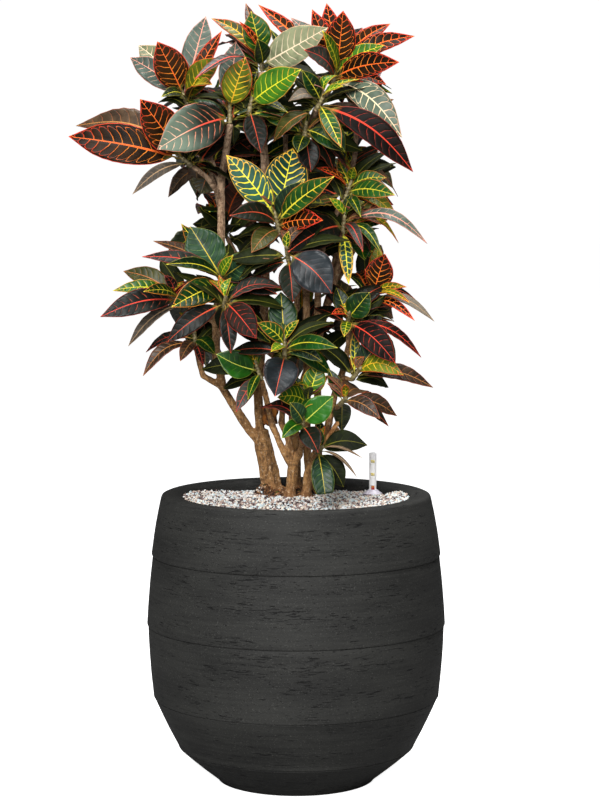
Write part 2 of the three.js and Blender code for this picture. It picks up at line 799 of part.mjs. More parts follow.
const gaugeHole = (bottom, top) =>
  toSolid(uprightRod(GAUGE_RADIUS + GAP, bottom, top, 12).translate(GAUGE_X, GAUGE_Y, 0));

const falseFloorGeometry = () => {
  const edge = innerRadius(FALSE_FLOOR_HEIGHT) - 1;
  const plate = turned([
    [SKIRT_RADIUS - 4, POT_FLOOR + GAP],
    [SKIRT_RADIUS, POT_FLOOR + GAP],
    [SKIRT_RADIUS, FALSE_FLOOR_HEIGHT],
    [edge, FALSE_FLOOR_HEIGHT],
    [edge, falseFloorTop],
    [0, falseFloorTop],
    [0, FALSE_FLOOR_HEIGHT],
    [SKIRT_RADIUS - 4, FALSE_FLOOR_HEIGHT],
    [SKIRT_RADIUS - 4, POT_FLOOR + GAP],
  ], 20);
  return toGeometry(toSolid(plate).subtract(gaugeHole(POT_FLOOR, falseFloorTop + 10)));
};

const soilGeometry = () => {
  const shelf = GRAVEL_LEVEL - GRAVEL_DEPTH;
  const clear = 0.8;
  const walls = BAND_EDGES.slice(1).map(([radius, height]) => [radius - POT_WALL - clear, height]);
  const bed = toSolid(turned([
    [0, falseFloorTop + GAP],
    [innerRadius(falseFloorTop + GAP) - clear, falseFloorTop + GAP],
    ...walls,
    [RIM_RADIUS - POT_WALL + 4, POT_HEIGHT - LIP_DEPTH - 14],
    [MOUTH_RADIUS - clear, POT_HEIGHT - LIP_DEPTH - 8],
    [MOUTH_RADIUS - clear, shelf],
    [0, shelf],
  ], POT_SIDES));
  const mound = toSolid(turned([
    [0, shelf - 20],
    [MOUND_RADIUS, shelf - 20],
    [MOUND_RADIUS, GRAVEL_LEVEL + GRAVEL_HEAP - 3],
    [MOUND_RADIUS * 0.8, GRAVEL_LEVEL + MOUND_HEIGHT * 0.55],
    [MOUND_RADIUS * 0.45, GRAVEL_LEVEL + MOUND_HEIGHT * 0.9],
    [0, GRAVEL_LEVEL + MOUND_HEIGHT],
  ], MOUND_SIDES).translate(MOUND_CENTRE[0], MOUND_CENTRE[1], 0));
  const holes = Object.values(TRUNKS).map(({ foot: [x, depth, radius] }) => {
    const at = place([x, SOIL_SURFACE, depth]);
    return toSolid(uprightRod(radius + GAP, ROOT_DEPTH - GAP, SOIL_SURFACE + 30).translate(at.x, at.y, 0));
  });
  const holed = bed.add(mound).subtract(joinAll(holes));
  return toGeometry(holed.subtract(gaugeHole(falseFloorTop - 10, POT_HEIGHT)));
};

// Height of the gravel's surface, which rises towards the mound and is flat where the gauge's collar stands.
const gravelSurface = (ring, side, x, y) => {
  if (Math.hypot(x - GAUGE_X, y - GAUGE_Y) < COLLAR_RADIUS + 26) return GRAVEL_LEVEL;
  const toMound = Math.hypot(x - MOUND_CENTRE[0], y - MOUND_CENTRE[1]) - MOUND_RADIUS;
  const heap = GRAVEL_HEAP * Math.min(Math.max(1 - toMound / HEAP_REACH, 0), 1);
  const bank = SIDE_BANK * (x / MOUTH_RADIUS) ** 2;
  return GRAVEL_LEVEL + Math.max(heap, bank) + GRAVEL_RELIEF * (2 * chance(ring, side) - 1);
};

const gravelGeometry = () => {
  const bottom = GRAVEL_LEVEL - GRAVEL_DEPTH + GAP;
  const outer = MOUTH_RADIUS - 0.8;
  const ringAt = (radius, height) => Array.from({ length: GRAVEL_SIDES }, (_, i) => {
    const angle = (2 * Math.PI * i) / GRAVEL_SIDES;
    const [x, y] = [radius * Math.cos(angle), radius * Math.sin(angle)];
    return new THREE.Vector3(x, y, height(i, x, y));
  });
  const rings = [ringAt(outer, () => bottom)];
  for (let k = 0; k < GRAVEL_RINGS; k += 1) {
    const radius = outer * (1 - k / GRAVEL_RINGS);
    rings.push(ringAt(radius, (i, x, y) => gravelSurface(k, i, x, y)));
  }
  const whole = toSolid(skin(rings, new THREE.Vector3(0, 0, GRAVEL_LEVEL + GRAVEL_HEAP)));
  const gap = uprightRod(MOUND_RADIUS + 0.6, bottom - 10, POT_HEIGHT, MOUND_SIDES);
  const hole = toSolid(gap.translate(MOUND_CENTRE[0], MOUND_CENTRE[1], 0));
  return toGeometry(whole.subtract(hole).subtract(gaugeHole(bottom - 10, POT_HEIGHT)));
};

// ---------------------------------------------------------------- water-level gauge

const gaugeTubeGeometry = () => turned([
  [GAUGE_RADIUS - GAUGE_WALL, GAUGE_FOOT],
  [GAUGE_RADIUS, GAUGE_FOOT],
  [GAUGE_RADIUS, GAUGE_TOP - 1],
  [GAUGE_RADIUS - 1, GAUGE_TOP],
  [0, GAUGE_TOP],
  [0, GAUGE_TOP - 3],
  [GAUGE_RADIUS - GAUGE_WALL, GAUGE_TOP - 3],
  [GAUGE_RADIUS - GAUGE_WALL, GAUGE_FOOT],
], 12);

const gaugeCollarGeometry = () => {
  const bottom = GRAVEL_LEVEL + GAP;
  const inner = GAUGE_RADIUS + GAP;
  return turned([
    [inner, bottom],
    [COLLAR_RADIUS, bottom],
    [COLLAR_RADIUS, bottom + 1.8],
    [inner + 3, bottom + COLLAR_HEIGHT - 1],
    [inner + 2, bottom + COLLAR_HEIGHT],
    [inner, bottom + COLLAR_HEIGHT],
    [inner, bottom],
  ], 16);
};

const gaugeFloatGeometry = () => {
  const rod = 1.1;
  const bob = GAUGE_FOOT + 4;
  return turned([
    [0, bob],
    [FLOAT_RADIUS, bob + 2],
    [FLOAT_RADIUS, bob + 26],
    [rod, bob + 29],
    [rod, FLOAT_MARKER_TOP - 12],
    [FLOAT_RADIUS, FLOAT_MARKER_TOP - 11],
    [FLOAT_RADIUS, FLOAT_MARKER_TOP - 1],
    [0, FLOAT_MARKER_TOP],
  ], 8);
};

// ---------------------------------------------------------------- woody stems

const shootFrame = ({ at, lean: [leanX, leanZ, leanDepth], length }) => {
  const axis = new THREE.Vector3(leanX, leanDepth, leanZ).normalize();
  const base = place(at).addScaledVector(axis, -length / 2);
  return { axis, base, top: base.clone().addScaledVector(axis, length) };
};

const limbGeometry = ({ radii, path, to }) => {
  const points = path.map(place);
  let endAxis = null;
  if (to) {
    const { axis, base } = shootFrame(SHOOTS[to]);
    endAxis = axis;
    points.push(base.clone().addScaledVector(axis, -GAP));
  }
  const curve = new THREE.CatmullRomCurve3(points, false, 'centripetal');
  const steps = Math.max(2, points.length - 1);
  const rings = [];
  for (let k = 0; k <= steps; k += 1) {
    const t = k / steps;
    const axis = k === steps && endAxis ? endAxis : curve.getTangent(t);
    rings.push(ringAbout(curve.getPoint(t), axis, between(radii, t), TWIG_SIDES));
  }
  return skin(rings);
};

const footGeometry = ([x, depth, radius]) => {
  const { x: footX, y: footY } = place([x, SOIL_SURFACE, depth]);
  return uprightRod(radius, ROOT_DEPTH, SOIL_SURFACE + 4, 12).translate(footX, footY, 0);
};

const trunkSolid = ({ foot, limbs }) =>
  joinAll([toSolid(footGeometry(foot)), ...limbs.map((limb) => toSolid(limbGeometry(limb)))]);

// ---------------------------------------------------------------- leaves

const halfWidth = (t, width) => {
  const x = Math.max(0, (t - STALK_SHARE) / (1 - STALK_SHARE));
  const outline = Math.sin(Math.PI * x ** OUTLINE_SKEW) ** OUTLINE_FULLNESS;
  return Math.max(STALK_HALF_WIDTH, (width / 2) * outline);
};

// A leaf as a thin solid with a rib down its middle. grow thickens and widens it, for finding room.
const leafGeometry = ({ root, tip, width, face, bend, key }, grow = 0, onlyStations = null) => {
  const along = tip.clone().sub(root);
  const length = along.length();
  const stations = onlyStations ?? (length > LONG_LEAF ? LEAF_STATIONS : SHORT_LEAF_STATIONS);
  along.normalize();
  const across = (v) => v.addScaledVector(along, -v.dot(along)).normalize();
  const upper = across(new THREE.Vector3(0.02, -face, 1 - Math.abs(face)));
  const rise = across(new THREE.Vector3(0.01, 0, 1));
  const side = along.clone().cross(upper);
  const ringAt = (t, k) => {
    const middle = root.clone().addScaledVector(along, length * t);
    middle.addScaledVector(upper, ARCH * length * Math.sin(Math.PI * t ** ARCH_SKEW));
    middle.addScaledVector(rise, bend * Math.sin(Math.PI * t));
    const half = halfWidth(t, width) + grow;
    const rib = between(RIB_HALF_THICKNESS, t) + grow;
    const edge = (sign) => {
      const wave = WAVE * half * (2 * chance(key, 10 * k + sign) - 1);
      return middle.clone().addScaledVector(side, sign * half).addScaledVector(upper, FOLD * half + wave);
    };
    return [
      edge(-1),
      middle.clone().addScaledVector(upper, rib),
      edge(1),
      middle.clone().addScaledVector(upper, -rib),
    ];
  };
  return skin(stations.map((t) => ringAt(t, Math.round(t * 100))), tip.clone().addScaledVector(along, grow));
};

const shootCore = ({ axis, base, top }) => skin([
  ringAbout(base, axis, SHOOT_RADIUS, SHOOT_SIDES),
  ringAbout(top, axis, SHOOT_RADIUS * 0.7, SHOOT_SIDES),
], top.clone().addScaledVector(axis, 9));

// A tip moved in to where the foliage ends at its height. What it loses sideways it gains in depth.
const withinReach = ([x, z, depth]) => {
  const above = FOLIAGE_REACH.findIndex(([height]) => height > z);
  const k = above < 0 ? FOLIAGE_REACH.length - 1 : Math.max(above, 1);
  const [low, high] = [FOLIAGE_REACH[k - 1], FOLIAGE_REACH[k]];
  const share = Math.min(Math.max((z - low[0]) / (high[0] - low[0]), 0), 1);
  const kept = Math.min(Math.max(x, -between([low[1], high[1]], share)), between([low[2], high[2]], share));
  return [kept, z, depth + Math.abs(x - kept)];
};

// The leaves listed for a shoot, then the ones that the rule adds, which keep to its far side.
const plannedLeaves = (shoot, number) => {
  const frame = shootFrame(shoot);
  const [x, z, depth] = shoot.at;
  const listed = shoot.leaves.map(([dx, dz, dDepth, width, face, bend], i) => ({
    tip: [x + dx, z + dz, depth + DEPTH_SPREAD * dDepth],
    width,
    face,
    bend,
    key: number * LEAVES_PER_SHOOT + i,
    listed: true,
  }));
  const behind = depth > BACK_DEPTH;
  const added = Array.from({ length: shoot.extra }, (_, i) => {
    const key = number * LEAVES_PER_SHOOT + FIRST_ADDED + i;
    const turn = i * GOLDEN_ANGLE + number;
    const tilt = between(ADDED_TILT, (i + 0.5) / shoot.extra);
    const reach = between(ADDED_LENGTH, chance(key, 1));
    let away = Math.sin(turn) * Math.cos(tilt);
    if (!behind || away < -0.35) away = Math.abs(away);
    return {
      tip: withinReach([
        x + reach * Math.cos(turn) * Math.cos(tilt), z + reach * Math.sin(tilt), depth + reach * away,
      ]),
      width: between(ADDED_WIDTH, chance(key, 2)),
      face: behind ? -0.25 : 0.35,
      bend: ADDED_BEND,
      key,
      listed: false,
    };
  });
  // The leaves that rise most grow nearest the stem's end.
  const all = [...listed, ...added];
  const rising = (leaf) => place(leaf.tip).sub(frame.base).normalize().dot(frame.axis);
  const order = all.map((leaf) => rising(leaf)).sort((a, b) => a - b);
  for (const leaf of all) {
    const share = all.length > 1 ? order.indexOf(rising(leaf)) / (all.length - 1) : 0.5;
    leaf.root = frame.base.clone().addScaledVector(frame.axis, shoot.length * between(ROOT_SPAN, share));
  }
  return all;
};

const boxOf = (geometry) => {
  geometry.computeBoundingBox();
  return geometry.boundingBox;
};

const meets = (item, others) => others.some((other) =>
  item.box.intersectsBox(other.box) && item.solid.intersect(other.solid).numTri() > 0);

const bodyOf = (geometry) => ({ box: boxOf(geometry), solid: toSolid(geometry) });

// Places every leaf of every shoot where it meets nothing of another piece; obstacles are what stands there
// first. A leaf that finds no room is left out.
const growLeaves = (obstacles) => {
  const names = Object.keys(SHOOTS);
  const shoots = names.map((name, number) => {
    const frame = shootFrame(SHOOTS[name]);
    const planned = plannedLeaves(SHOOTS[name], number);
    return { name, core: bodyOf(shootCore(frame)), leaves: [], blades: [], planned };
  });
  const placeLeaf = (shoot, leaf) => {
    const elsewhere = [
      ...obstacles,
      ...shoots.filter((other) => other !== shoot).flatMap((other) => [other.core, ...other.leaves]),
    ];
    for (const swing of SWINGS) {
      const tip = place(leaf.tip.map((value, i) => value + swing[i]));
      const shape = { ...leaf, tip };
      const room = bodyOf(leafGeometry(shape, CLEARANCE));
      if (meets(room, elsewhere)) continue;
      const blade = bodyOf(leafGeometry(shape, 0, BLADE_STATIONS));
      if (meets(blade, shoot.blades)) continue;
      shoot.blades.push(blade);
      shoot.leaves.push(bodyOf(leafGeometry(shape)));
      return;
    }
  };
  for (const wanted of [true, false]) {
    for (const shoot of shoots) {
      for (const leaf of shoot.planned.filter(({ listed }) => listed === wanted)) placeLeaf(shoot, leaf);
    }
  }
  return shoots;
};

// ---------------------------------------------------------------- assembly

const group = new THREE.Group();

const addNode = (name, geometry, color, roughness, extras = {}) => {
  const mesh = new THREE.Mesh(geometry, new THREE.MeshStandardMaterial({ color, roughness, ...extras }));
  mesh.name = name;
  group.add(mesh);
};

const soil = soilGeometry();
const gravel = gravelGeometry();
const pot = potGeometry();
const collar = gaugeCollarGeometry().translate(GAUGE_X, GAUGE_Y, 0);
const tube = gaugeTubeGeometry().translate(GAUGE_X, GAUGE_Y, 0);

addNode('pot', pot, 0x383837, 0.55);
addNode('reservoir_floor', falseFloorGeometry(), 0x26282a, 0.6);
addNode('soil', soil, 0x4a3524, 0.95);
addNode('gravel', gravel, 0xb7a894, 0.9);
addNode('gauge_tube', tube, 0xc9cbc6, 0.25, { transparent: true, opacity: 0.6 });
addNode('gauge_collar', collar, 0xc3bfd0, 0.45);
addNode('gauge_float', gaugeFloatGeometry().translate(GAUGE_X, GAUGE_Y, 0), 0xc22c1c, 0.4);

const wood = Object.entries(TRUNKS).map(([name, trunk]) => [name, trunkSolid(trunk)]);
for (const [name, solid] of wood) addNode(name, toGeometry(solid), 0x8f6d4b, 0.85);

const standing = [pot, soil, gravel, collar, tube].map((geometry) => bodyOf(geometry));
const limbs = Object.values(TRUNKS).flatMap((trunk) => trunk.limbs);
const branches = limbs.map((limb) => bodyOf(limbGeometry(limb)));
for (const shoot of growLeaves([...standing, ...branches])) {
  const whole = joinAll([shoot.core.solid, ...shoot.leaves.map(({ solid }) => solid)]);
  addNode(shoot.name, toGeometry(whole), SHOOTS[shoot.name].colour, 0.5);
}

export default group;
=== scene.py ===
"""Looks of a potted croton in a dark barrel planter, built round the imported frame.

The scene is in metres with +Z up and the front towards -Y. The sizes of the object's parts are given in
millimetres, those of the studio in metres.
"""

from __future__ import annotations

import logging
import math
import random
from dataclasses import dataclass, field
from enum import Enum
from typing import Any, Callable, Iterable, Sequence

import bmesh
import bpy
from mathutils import Matrix, Vector, noise
from mathutils.kdtree import KDTree

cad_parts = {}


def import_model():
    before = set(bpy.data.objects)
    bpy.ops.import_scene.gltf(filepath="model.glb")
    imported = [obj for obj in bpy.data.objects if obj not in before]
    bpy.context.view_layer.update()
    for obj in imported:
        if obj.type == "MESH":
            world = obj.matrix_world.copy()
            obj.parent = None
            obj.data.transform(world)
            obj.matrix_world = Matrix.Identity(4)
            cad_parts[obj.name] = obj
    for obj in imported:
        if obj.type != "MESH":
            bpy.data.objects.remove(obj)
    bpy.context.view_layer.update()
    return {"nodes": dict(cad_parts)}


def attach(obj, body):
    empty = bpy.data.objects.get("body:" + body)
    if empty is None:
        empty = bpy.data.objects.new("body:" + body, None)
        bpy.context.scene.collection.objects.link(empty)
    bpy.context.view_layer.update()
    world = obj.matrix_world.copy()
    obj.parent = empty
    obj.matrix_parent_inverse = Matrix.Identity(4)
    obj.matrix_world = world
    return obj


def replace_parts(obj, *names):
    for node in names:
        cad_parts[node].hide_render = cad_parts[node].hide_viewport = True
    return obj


log = logging.getLogger("potted_croton")

MM = 0.001
ROOT_BODY = "root"

Rgb = tuple[int, int, int]
Pair = tuple[float, float]
Triple = tuple[float, float, float]
Socket = bpy.types.NodeSocket
Mesh = bpy.types.Mesh
Form = bmesh.types.BMesh
Node = bpy.types.Node
Tree = bpy.types.NodeTree
Paint = bpy.types.Material
Thing = bpy.types.Object
Line = Callable[[float], Vector]  # gives a place for a share of a length
Girth = Callable[[float], float]  # gives a radius for it

# The plant is laid out on the upright plane through the planter's axis, in millimetres, as [x, z, depth]:
# depth is how far behind the plane a point really lies, along the line from the viewer's eye.
EYE_DISTANCE = 3073.0
EYE_HEIGHT = 795.0


def place(point: Sequence[float]) -> Vector:
    """Returns the real place, in metres, of a point of the layout plane.

    Args:
        point: x, height and depth in millimetres.

    Returns:
        The point in the frame, in metres.
    """
    x, z, depth = point
    s = 1 + depth / EYE_DISTANCE
    return Vector((x * s, depth, EYE_HEIGHT + (z - EYE_HEIGHT) * s)) * MM


def chance(i: int, j: int) -> float:
    """Returns a repeatable number from 0 to 1 for a pair of whole numbers."""
    wave = math.sin(i * 12.9898 + j * 78.233) * 43758.5453
    return wave - math.floor(wave)


def between(low: float, high: float, share: float) -> float:
    """Returns the value at a share of the way from low to high."""
    return low + (high - low) * share


def eased(value: float, low: float, high: float) -> float:
    """Returns 0 at low, 1 at high and a smooth change between them. Low may be the greater one."""
    x = min(1.0, max(0.0, (value - low) / (high - low)))
    return x * x * (3 - 2 * x)


def linear(colour: Rgb) -> tuple[float, float, float, float]:
    """Returns an sRGB colour of 0 to 255 as the linear colour that a shader takes."""
    def channel(value: int) -> float:
        """Returns one channel as linear light."""
        c = value / 255
        return c / 12.92 if c <= 0.04045 else ((c + 0.055) / 1.055) ** 2.4

    r, g, b = (channel(value) for value in colour)
    return (r, g, b, 1.0)


# ---------------------------------------------------------------- shader helpers


class Shading:
    """Adds nodes to one node tree and joins them."""

    def __init__(self, tree: Tree) -> None:
        """Keeps the tree that the nodes go to."""
        self.tree = tree

    def node(self, kind: str, **settings: Any) -> Node:
        """Adds a node.

        Args:
            kind: the node's type name after ShaderNode.
            settings: properties to set on it.

        Returns:
            The new node.
        """
        made = self.tree.nodes.new("ShaderNode" + kind)
        for name, value in settings.items():
            setattr(made, name, value)
        return made

    def feed(self, socket: Socket, value: Any) -> None:
        """Joins a socket to an output, or sets its value. Three numbers are an sRGB colour of 0 to 255."""
        if isinstance(value, Socket):
            self.tree.links.new(value, socket)
        elif isinstance(value, tuple) and len(value) == 3:
            socket.default_value = linear(value)
        else:
            socket.default_value = value

    def math(self, operation: str, *values: Any) -> Socket:
        """Returns the result of a math node on the given values."""
        made = self.node("Math", operation=operation)
        for socket, value in zip(made.inputs, values):
            self.feed(socket, value)
        return made.outputs[0]

    def plus(self, a: Any, b: Any) -> Socket:
        """Returns a sum."""
        return self.math("ADD", a, b)

    def minus(self, a: Any, b: Any) -> Socket:
        """Returns a difference."""
        return self.math("SUBTRACT", a, b)

    def times(self, a: Any, b: Any) -> Socket:
        """Returns a product."""
        return self.math("MULTIPLY", a, b)

    def mix(self, factor: Any, a: Any, b: Any) -> Socket:
        """Returns a blend of two colours."""
        made = self.node("Mix", data_type="RGBA")
        for index, value in ((0, factor), (6, a), (7, b)):
            self.feed(made.inputs[index], value)
        return made.outputs[2]

    def ramp(self, value: Any, low: Any, high: Any, start: float = 0.0, end: float = 1.0) -> Socket:
        """Returns a smooth change from start to end while the value goes from low to high."""
        made = self.node("MapRange", interpolation_type="SMOOTHSTEP")
        given = {"Value": value, "From Min": low, "From Max": high, "To Min": start, "To Max": end}
        for name, setting in given.items():
            self.feed(made.inputs[name], setting)
        return made.outputs["Result"]

    def fade(self, value: Any, low: float, high: float, a: Any, b: Any) -> Socket:
        """Returns a colour that goes smoothly from a to b while the value goes from low to high."""
        return self.mix(self.ramp(value, low, high), a, b)

    def noise(self, scale: Triple, detail: float, rough: float = 0.5) -> Socket:
        """Returns a noise over the object.

        Args:
            scale: how fine it is along each axis, in patches a metre.
            detail: how many finer layers it has.
            rough: how strong they are.

        Returns:
            The noise, from 0 to 1.
        """
        where = self.node("Mapping")
        self.feed(where.inputs["Vector"], self.node("TexCoord").outputs["Object"])
        where.inputs["Scale"].default_value = scale
        made = self.node("TexNoise")
        self.feed(made.inputs["Vector"], where.outputs["Vector"])
        for name, value in (("Scale", 1.0), ("Detail", detail), ("Roughness", rough)):
            made.inputs[name].default_value = value
        return made.outputs["Fac"]

    def attribute(self, name: str, output: str = "Vector") -> Socket:
        """Returns an output of one of the piece's attributes."""
        return self.node("Attribute", attribute_name=name).outputs[output]

    def parts(self, vector: Any) -> tuple[Socket, ...]:
        """Returns the three parts of a vector."""
        made = self.node("SeparateXYZ")
        self.feed(made.inputs[0], vector)
        return tuple(made.outputs)

    def coordinates(self) -> tuple[Socket, ...]:
        """Returns the object's coordinates in metres."""
        return self.parts(self.node("TexCoord").outputs["Object"])


class Material(Shading):
    """One material with a Principled shader."""

    def __init__(self, name: str, roughness: float = 0.5) -> None:
        """Makes the material.

        Args:
            name: the material's name.
            roughness: the shader's roughness where nothing is joined to it.
        """
        self.material = bpy.data.materials.new(name)
        self.material.use_nodes = True
        super().__init__(self.material.node_tree)
        self.shader = self.tree.nodes["Principled BSDF"]
        self.shader.inputs["Roughness"].default_value = roughness

    def paint(self, **inputs: Any) -> None:
        """Feeds the shader's inputs, named with underscores for spaces."""
        for name, value in inputs.items():
            self.feed(self.shader.inputs[name.replace("_", " ")], value)

    def bump(self, height: Any, strength: float, distance: float) -> None:
        """Raises the surface's shading by a height."""
        made = self.node("Bump")
        made.inputs["Strength"].default_value = strength
        made.inputs["Distance"].default_value = distance
        self.feed(made.inputs["Height"], height)
        self.paint(Normal=made.outputs["Normal"])


@dataclass(frozen=True)
class Mottle:
    """A plain finish that wanders between two colours."""

    name: str
    dark: Rgb
    light: Rgb
    scale: Triple  # how fine the patches are along each axis
    detail: float = 3
    rough: float = 0.5
    edges: Pair = (0.4, 0.6)  # the noise at which each colour is full
    roughness: float = 0.9
    bump: Pair = (0.8, 0.002)  # its strength and its height in metres

    def build(self) -> Paint:
        """Returns the material."""
        m = Material(self.name, self.roughness)
        tone = m.noise(self.scale, self.detail, self.rough)
        m.paint(Base_Color=m.fade(tone, *self.edges, self.dark, self.light))
        if any(self.bump):
            m.bump(tone, *self.bump)
        return m.material


def new_group(name: str, inputs: dict[str, float], outputs: Sequence[str]) -> tuple[Shading, Node, Node]:
    """Starts a shader node group of plain numbers.

    Args:
        name: the group's name.
        inputs: its inputs with their default values.
        outputs: its outputs.

    Returns:
        The group's shading, its input node and its output node.
    """
    tree = bpy.data.node_groups.new(name, "ShaderNodeTree")
    for label, value in inputs.items():
        tree.interface.new_socket(label, in_out="INPUT", socket_type="NodeSocketFloat").default_value = value
    for label in outputs:
        tree.interface.new_socket(label, in_out="OUTPUT", socket_type="NodeSocketFloat")
    return Shading(tree), tree.nodes.new("NodeGroupInput"), tree.nodes.new("NodeGroupOutput")


# ---------------------------------------------------------------- mesh helpers


def stretched(point: Vector, scale: Triple) -> Vector:
    """Returns a point with each coordinate times its own scale."""
    return Vector([c * s for c, s in zip(point, scale)])


def put(name: str, data: bpy.types.ID) -> Thing:
    """Returns a new object in the scene with the given mesh, light or camera."""
    made = bpy.data.objects.new(name, data)
    bpy.context.scene.collection.objects.link(made)
    return made


def absorb(whole: Form, mesh: Mesh) -> None:
    """Moves a mesh into a bmesh."""
    whole.from_mesh(mesh)
    bpy.data.meshes.remove(mesh)


def add_piece(name: str, mesh: Mesh, materials: Iterable[Paint], slot: str) -> Thing:
    """Puts a finished mesh in the scene as a piece of the object.

    Args:
        name: the piece's name.
        mesh: its mesh, already in place.
        materials: its materials in slot order.
        slot: the record's material slot; not used.

    Returns:
        The new object.
    """
    for material in materials:
        mesh.materials.append(material)
    piece = put(name, mesh)
    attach(piece, ROOT_BODY)
    log.info("%s: %d faces", name, len(mesh.polygons))
    return piece


def dress(node: Thing, material: Paint) -> None:
    """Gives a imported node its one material."""
    node.data.materials.clear()
    node.data.materials.append(material)


def to_mesh(name: str, form: Form, smooth: bool = True) -> Mesh:
    """Writes a bmesh to a new mesh and frees it.

    Args:
        name: the mesh's name.
        form: the bmesh.
        smooth: whether its faces shade smoothly.

    Returns:
        The mesh.
    """
    for face in form.faces:
        face.smooth = smooth
    mesh = bpy.data.meshes.new(name)
    form.to_mesh(mesh)
    form.free()
    return mesh


def modified(mesh: Mesh, *steps: tuple[str, dict[str, Any]]) -> Mesh:
    """Runs modifiers on a mesh.

    Args:
        mesh: the mesh, which is removed.
        steps: each modifier's type and settings, in order.

    Returns:
        The new mesh.
    """
    holder = put("holder", mesh)
    for kind, settings in steps:
        modifier = holder.modifiers.new(kind.title(), kind)
        for name, value in settings.items():
            setattr(modifier, name, value)
    graph = bpy.context.evaluated_depsgraph_get()
    result = bpy.data.meshes.new_from_object(holder.evaluated_get(graph))
    bpy.data.objects.remove(holder)
    bpy.data.meshes.remove(mesh)
    return result


def turned(profile: Sequence[Pair], steps: int) -> Form:
    """Spins a profile about the Z axis.

    Args:
        profile: radius and height of its points, in millimetres.
        steps: how many steps make the full turn.

    Returns:
        A bmesh with closed poles and its faces outwards.
    """
    form = bmesh.new()
    corners = [form.verts.new((r * MM, 0, z * MM)) for r, z in profile]
    edges = [form.edges.new(pair) for pair in zip(corners, corners[1:])]
    bmesh.ops.spin(
        form, geom=corners + edges, cent=(0, 0, 0), axis=(0, 0, 1), angle=math.tau, steps=steps,
        use_merge=True,
    )
    bmesh.ops.remove_doubles(form, verts=form.verts, dist=1e-6)
    bmesh.ops.recalc_face_normals(form, faces=form.faces)
    return form


def sheet(across: int, along: int, at: Callable[[float, float], Vector]) -> Form:
    """Bends a grid into a surface.

    Args:
        across: faces from side to side.
        along: faces from end to end.
        at: gives a place for a share across from -1 to 1 and a share along from 0 to 1.

    Returns:
        The surface, with what falls together merged.
    """
    form = bmesh.new()
    bmesh.ops.create_grid(form, x_segments=across, y_segments=along, size=1.0)
    for corner in form.verts:
        corner.co = at(corner.co.x, (corner.co.y + 1) / 2)
    bmesh.ops.remove_doubles(form, verts=form.verts, dist=1e-6)
    return form


def tube(sides: int, steps: int, middle: Line, radius: Girth) -> Form:
    """Makes a round closed tube along a line.

    Args:
        sides: faces round it.
        steps: faces along it.
        middle: gives its middle line for a share from 0 to 1.
        radius: gives its radius there. It closes where that is 0.

    Returns:
        A bmesh of the tube.
    """
    def at(x: float, t: float) -> Vector:
        """Returns the place on the tube's wall for a share round and along it."""
        ahead = middle(min(1.0, t + 0.01)) - middle(max(0.0, t - 0.01))
        turn = Vector((0, 0, 1)).rotation_difference(ahead)
        angle = math.pi * x
        return middle(t) + turn @ Vector((math.cos(angle), math.sin(angle), 0)) * radius(t)

    return sheet(sides, steps, at)


# ---------------------------------------------------------------- planter


@dataclass(frozen=True)
class PlanterFinish:
    """Matt anthracite composite with brushed streaks and small dark pits."""

    dark: Rgb = (30, 30, 29)
    light: Rgb = (45, 45, 43)
    pit: Rgb = (5, 5, 5)
    speck: Rgb = (96, 96, 92)
    roughness: float = 0.72

    def build(self) -> Paint:
        """Returns the planter's material."""
        m = Material("planter_composite", self.roughness)
        streaks = m.noise((9, 9, 260), 4, 0.6)
        clouds = m.noise((6, 6, 16), 3, 0.55)
        grain = m.noise((520, 520, 620), 2, 0.6)
        cracks = m.ramp(m.noise((58, 58, 640), 3, 0.62), 0.585, 0.615)
        where = m.ramp(m.noise((13, 13, 60), 2, 0.6), 0.5, 0.57)
        specks = m.ramp(m.noise((190, 190, 520), 2, 0.6), 0.66, 0.70)
        pits = m.math("MAXIMUM", m.times(cracks, where), m.times(specks, 0.7))
        tone = m.plus(m.times(streaks, 0.4), m.times(clouds, 0.6))
        colour = m.fade(tone, 0.34, 0.66, self.dark, self.light)
        colour = m.mix(m.times(m.ramp(grain, 0.58, 0.74), 0.34), colour, self.speck)
        m.paint(Base_Color=m.mix(m.times(pits, 0.95), colour, self.pit))
        height = m.plus(m.times(streaks, 0.55), m.times(grain, 0.4))
        m.bump(m.minus(height, m.times(pits, 1.2)), 0.8, 0.001)
        m.shader.inputs["Specular IOR Level"].default_value = 0.25
        return m.material


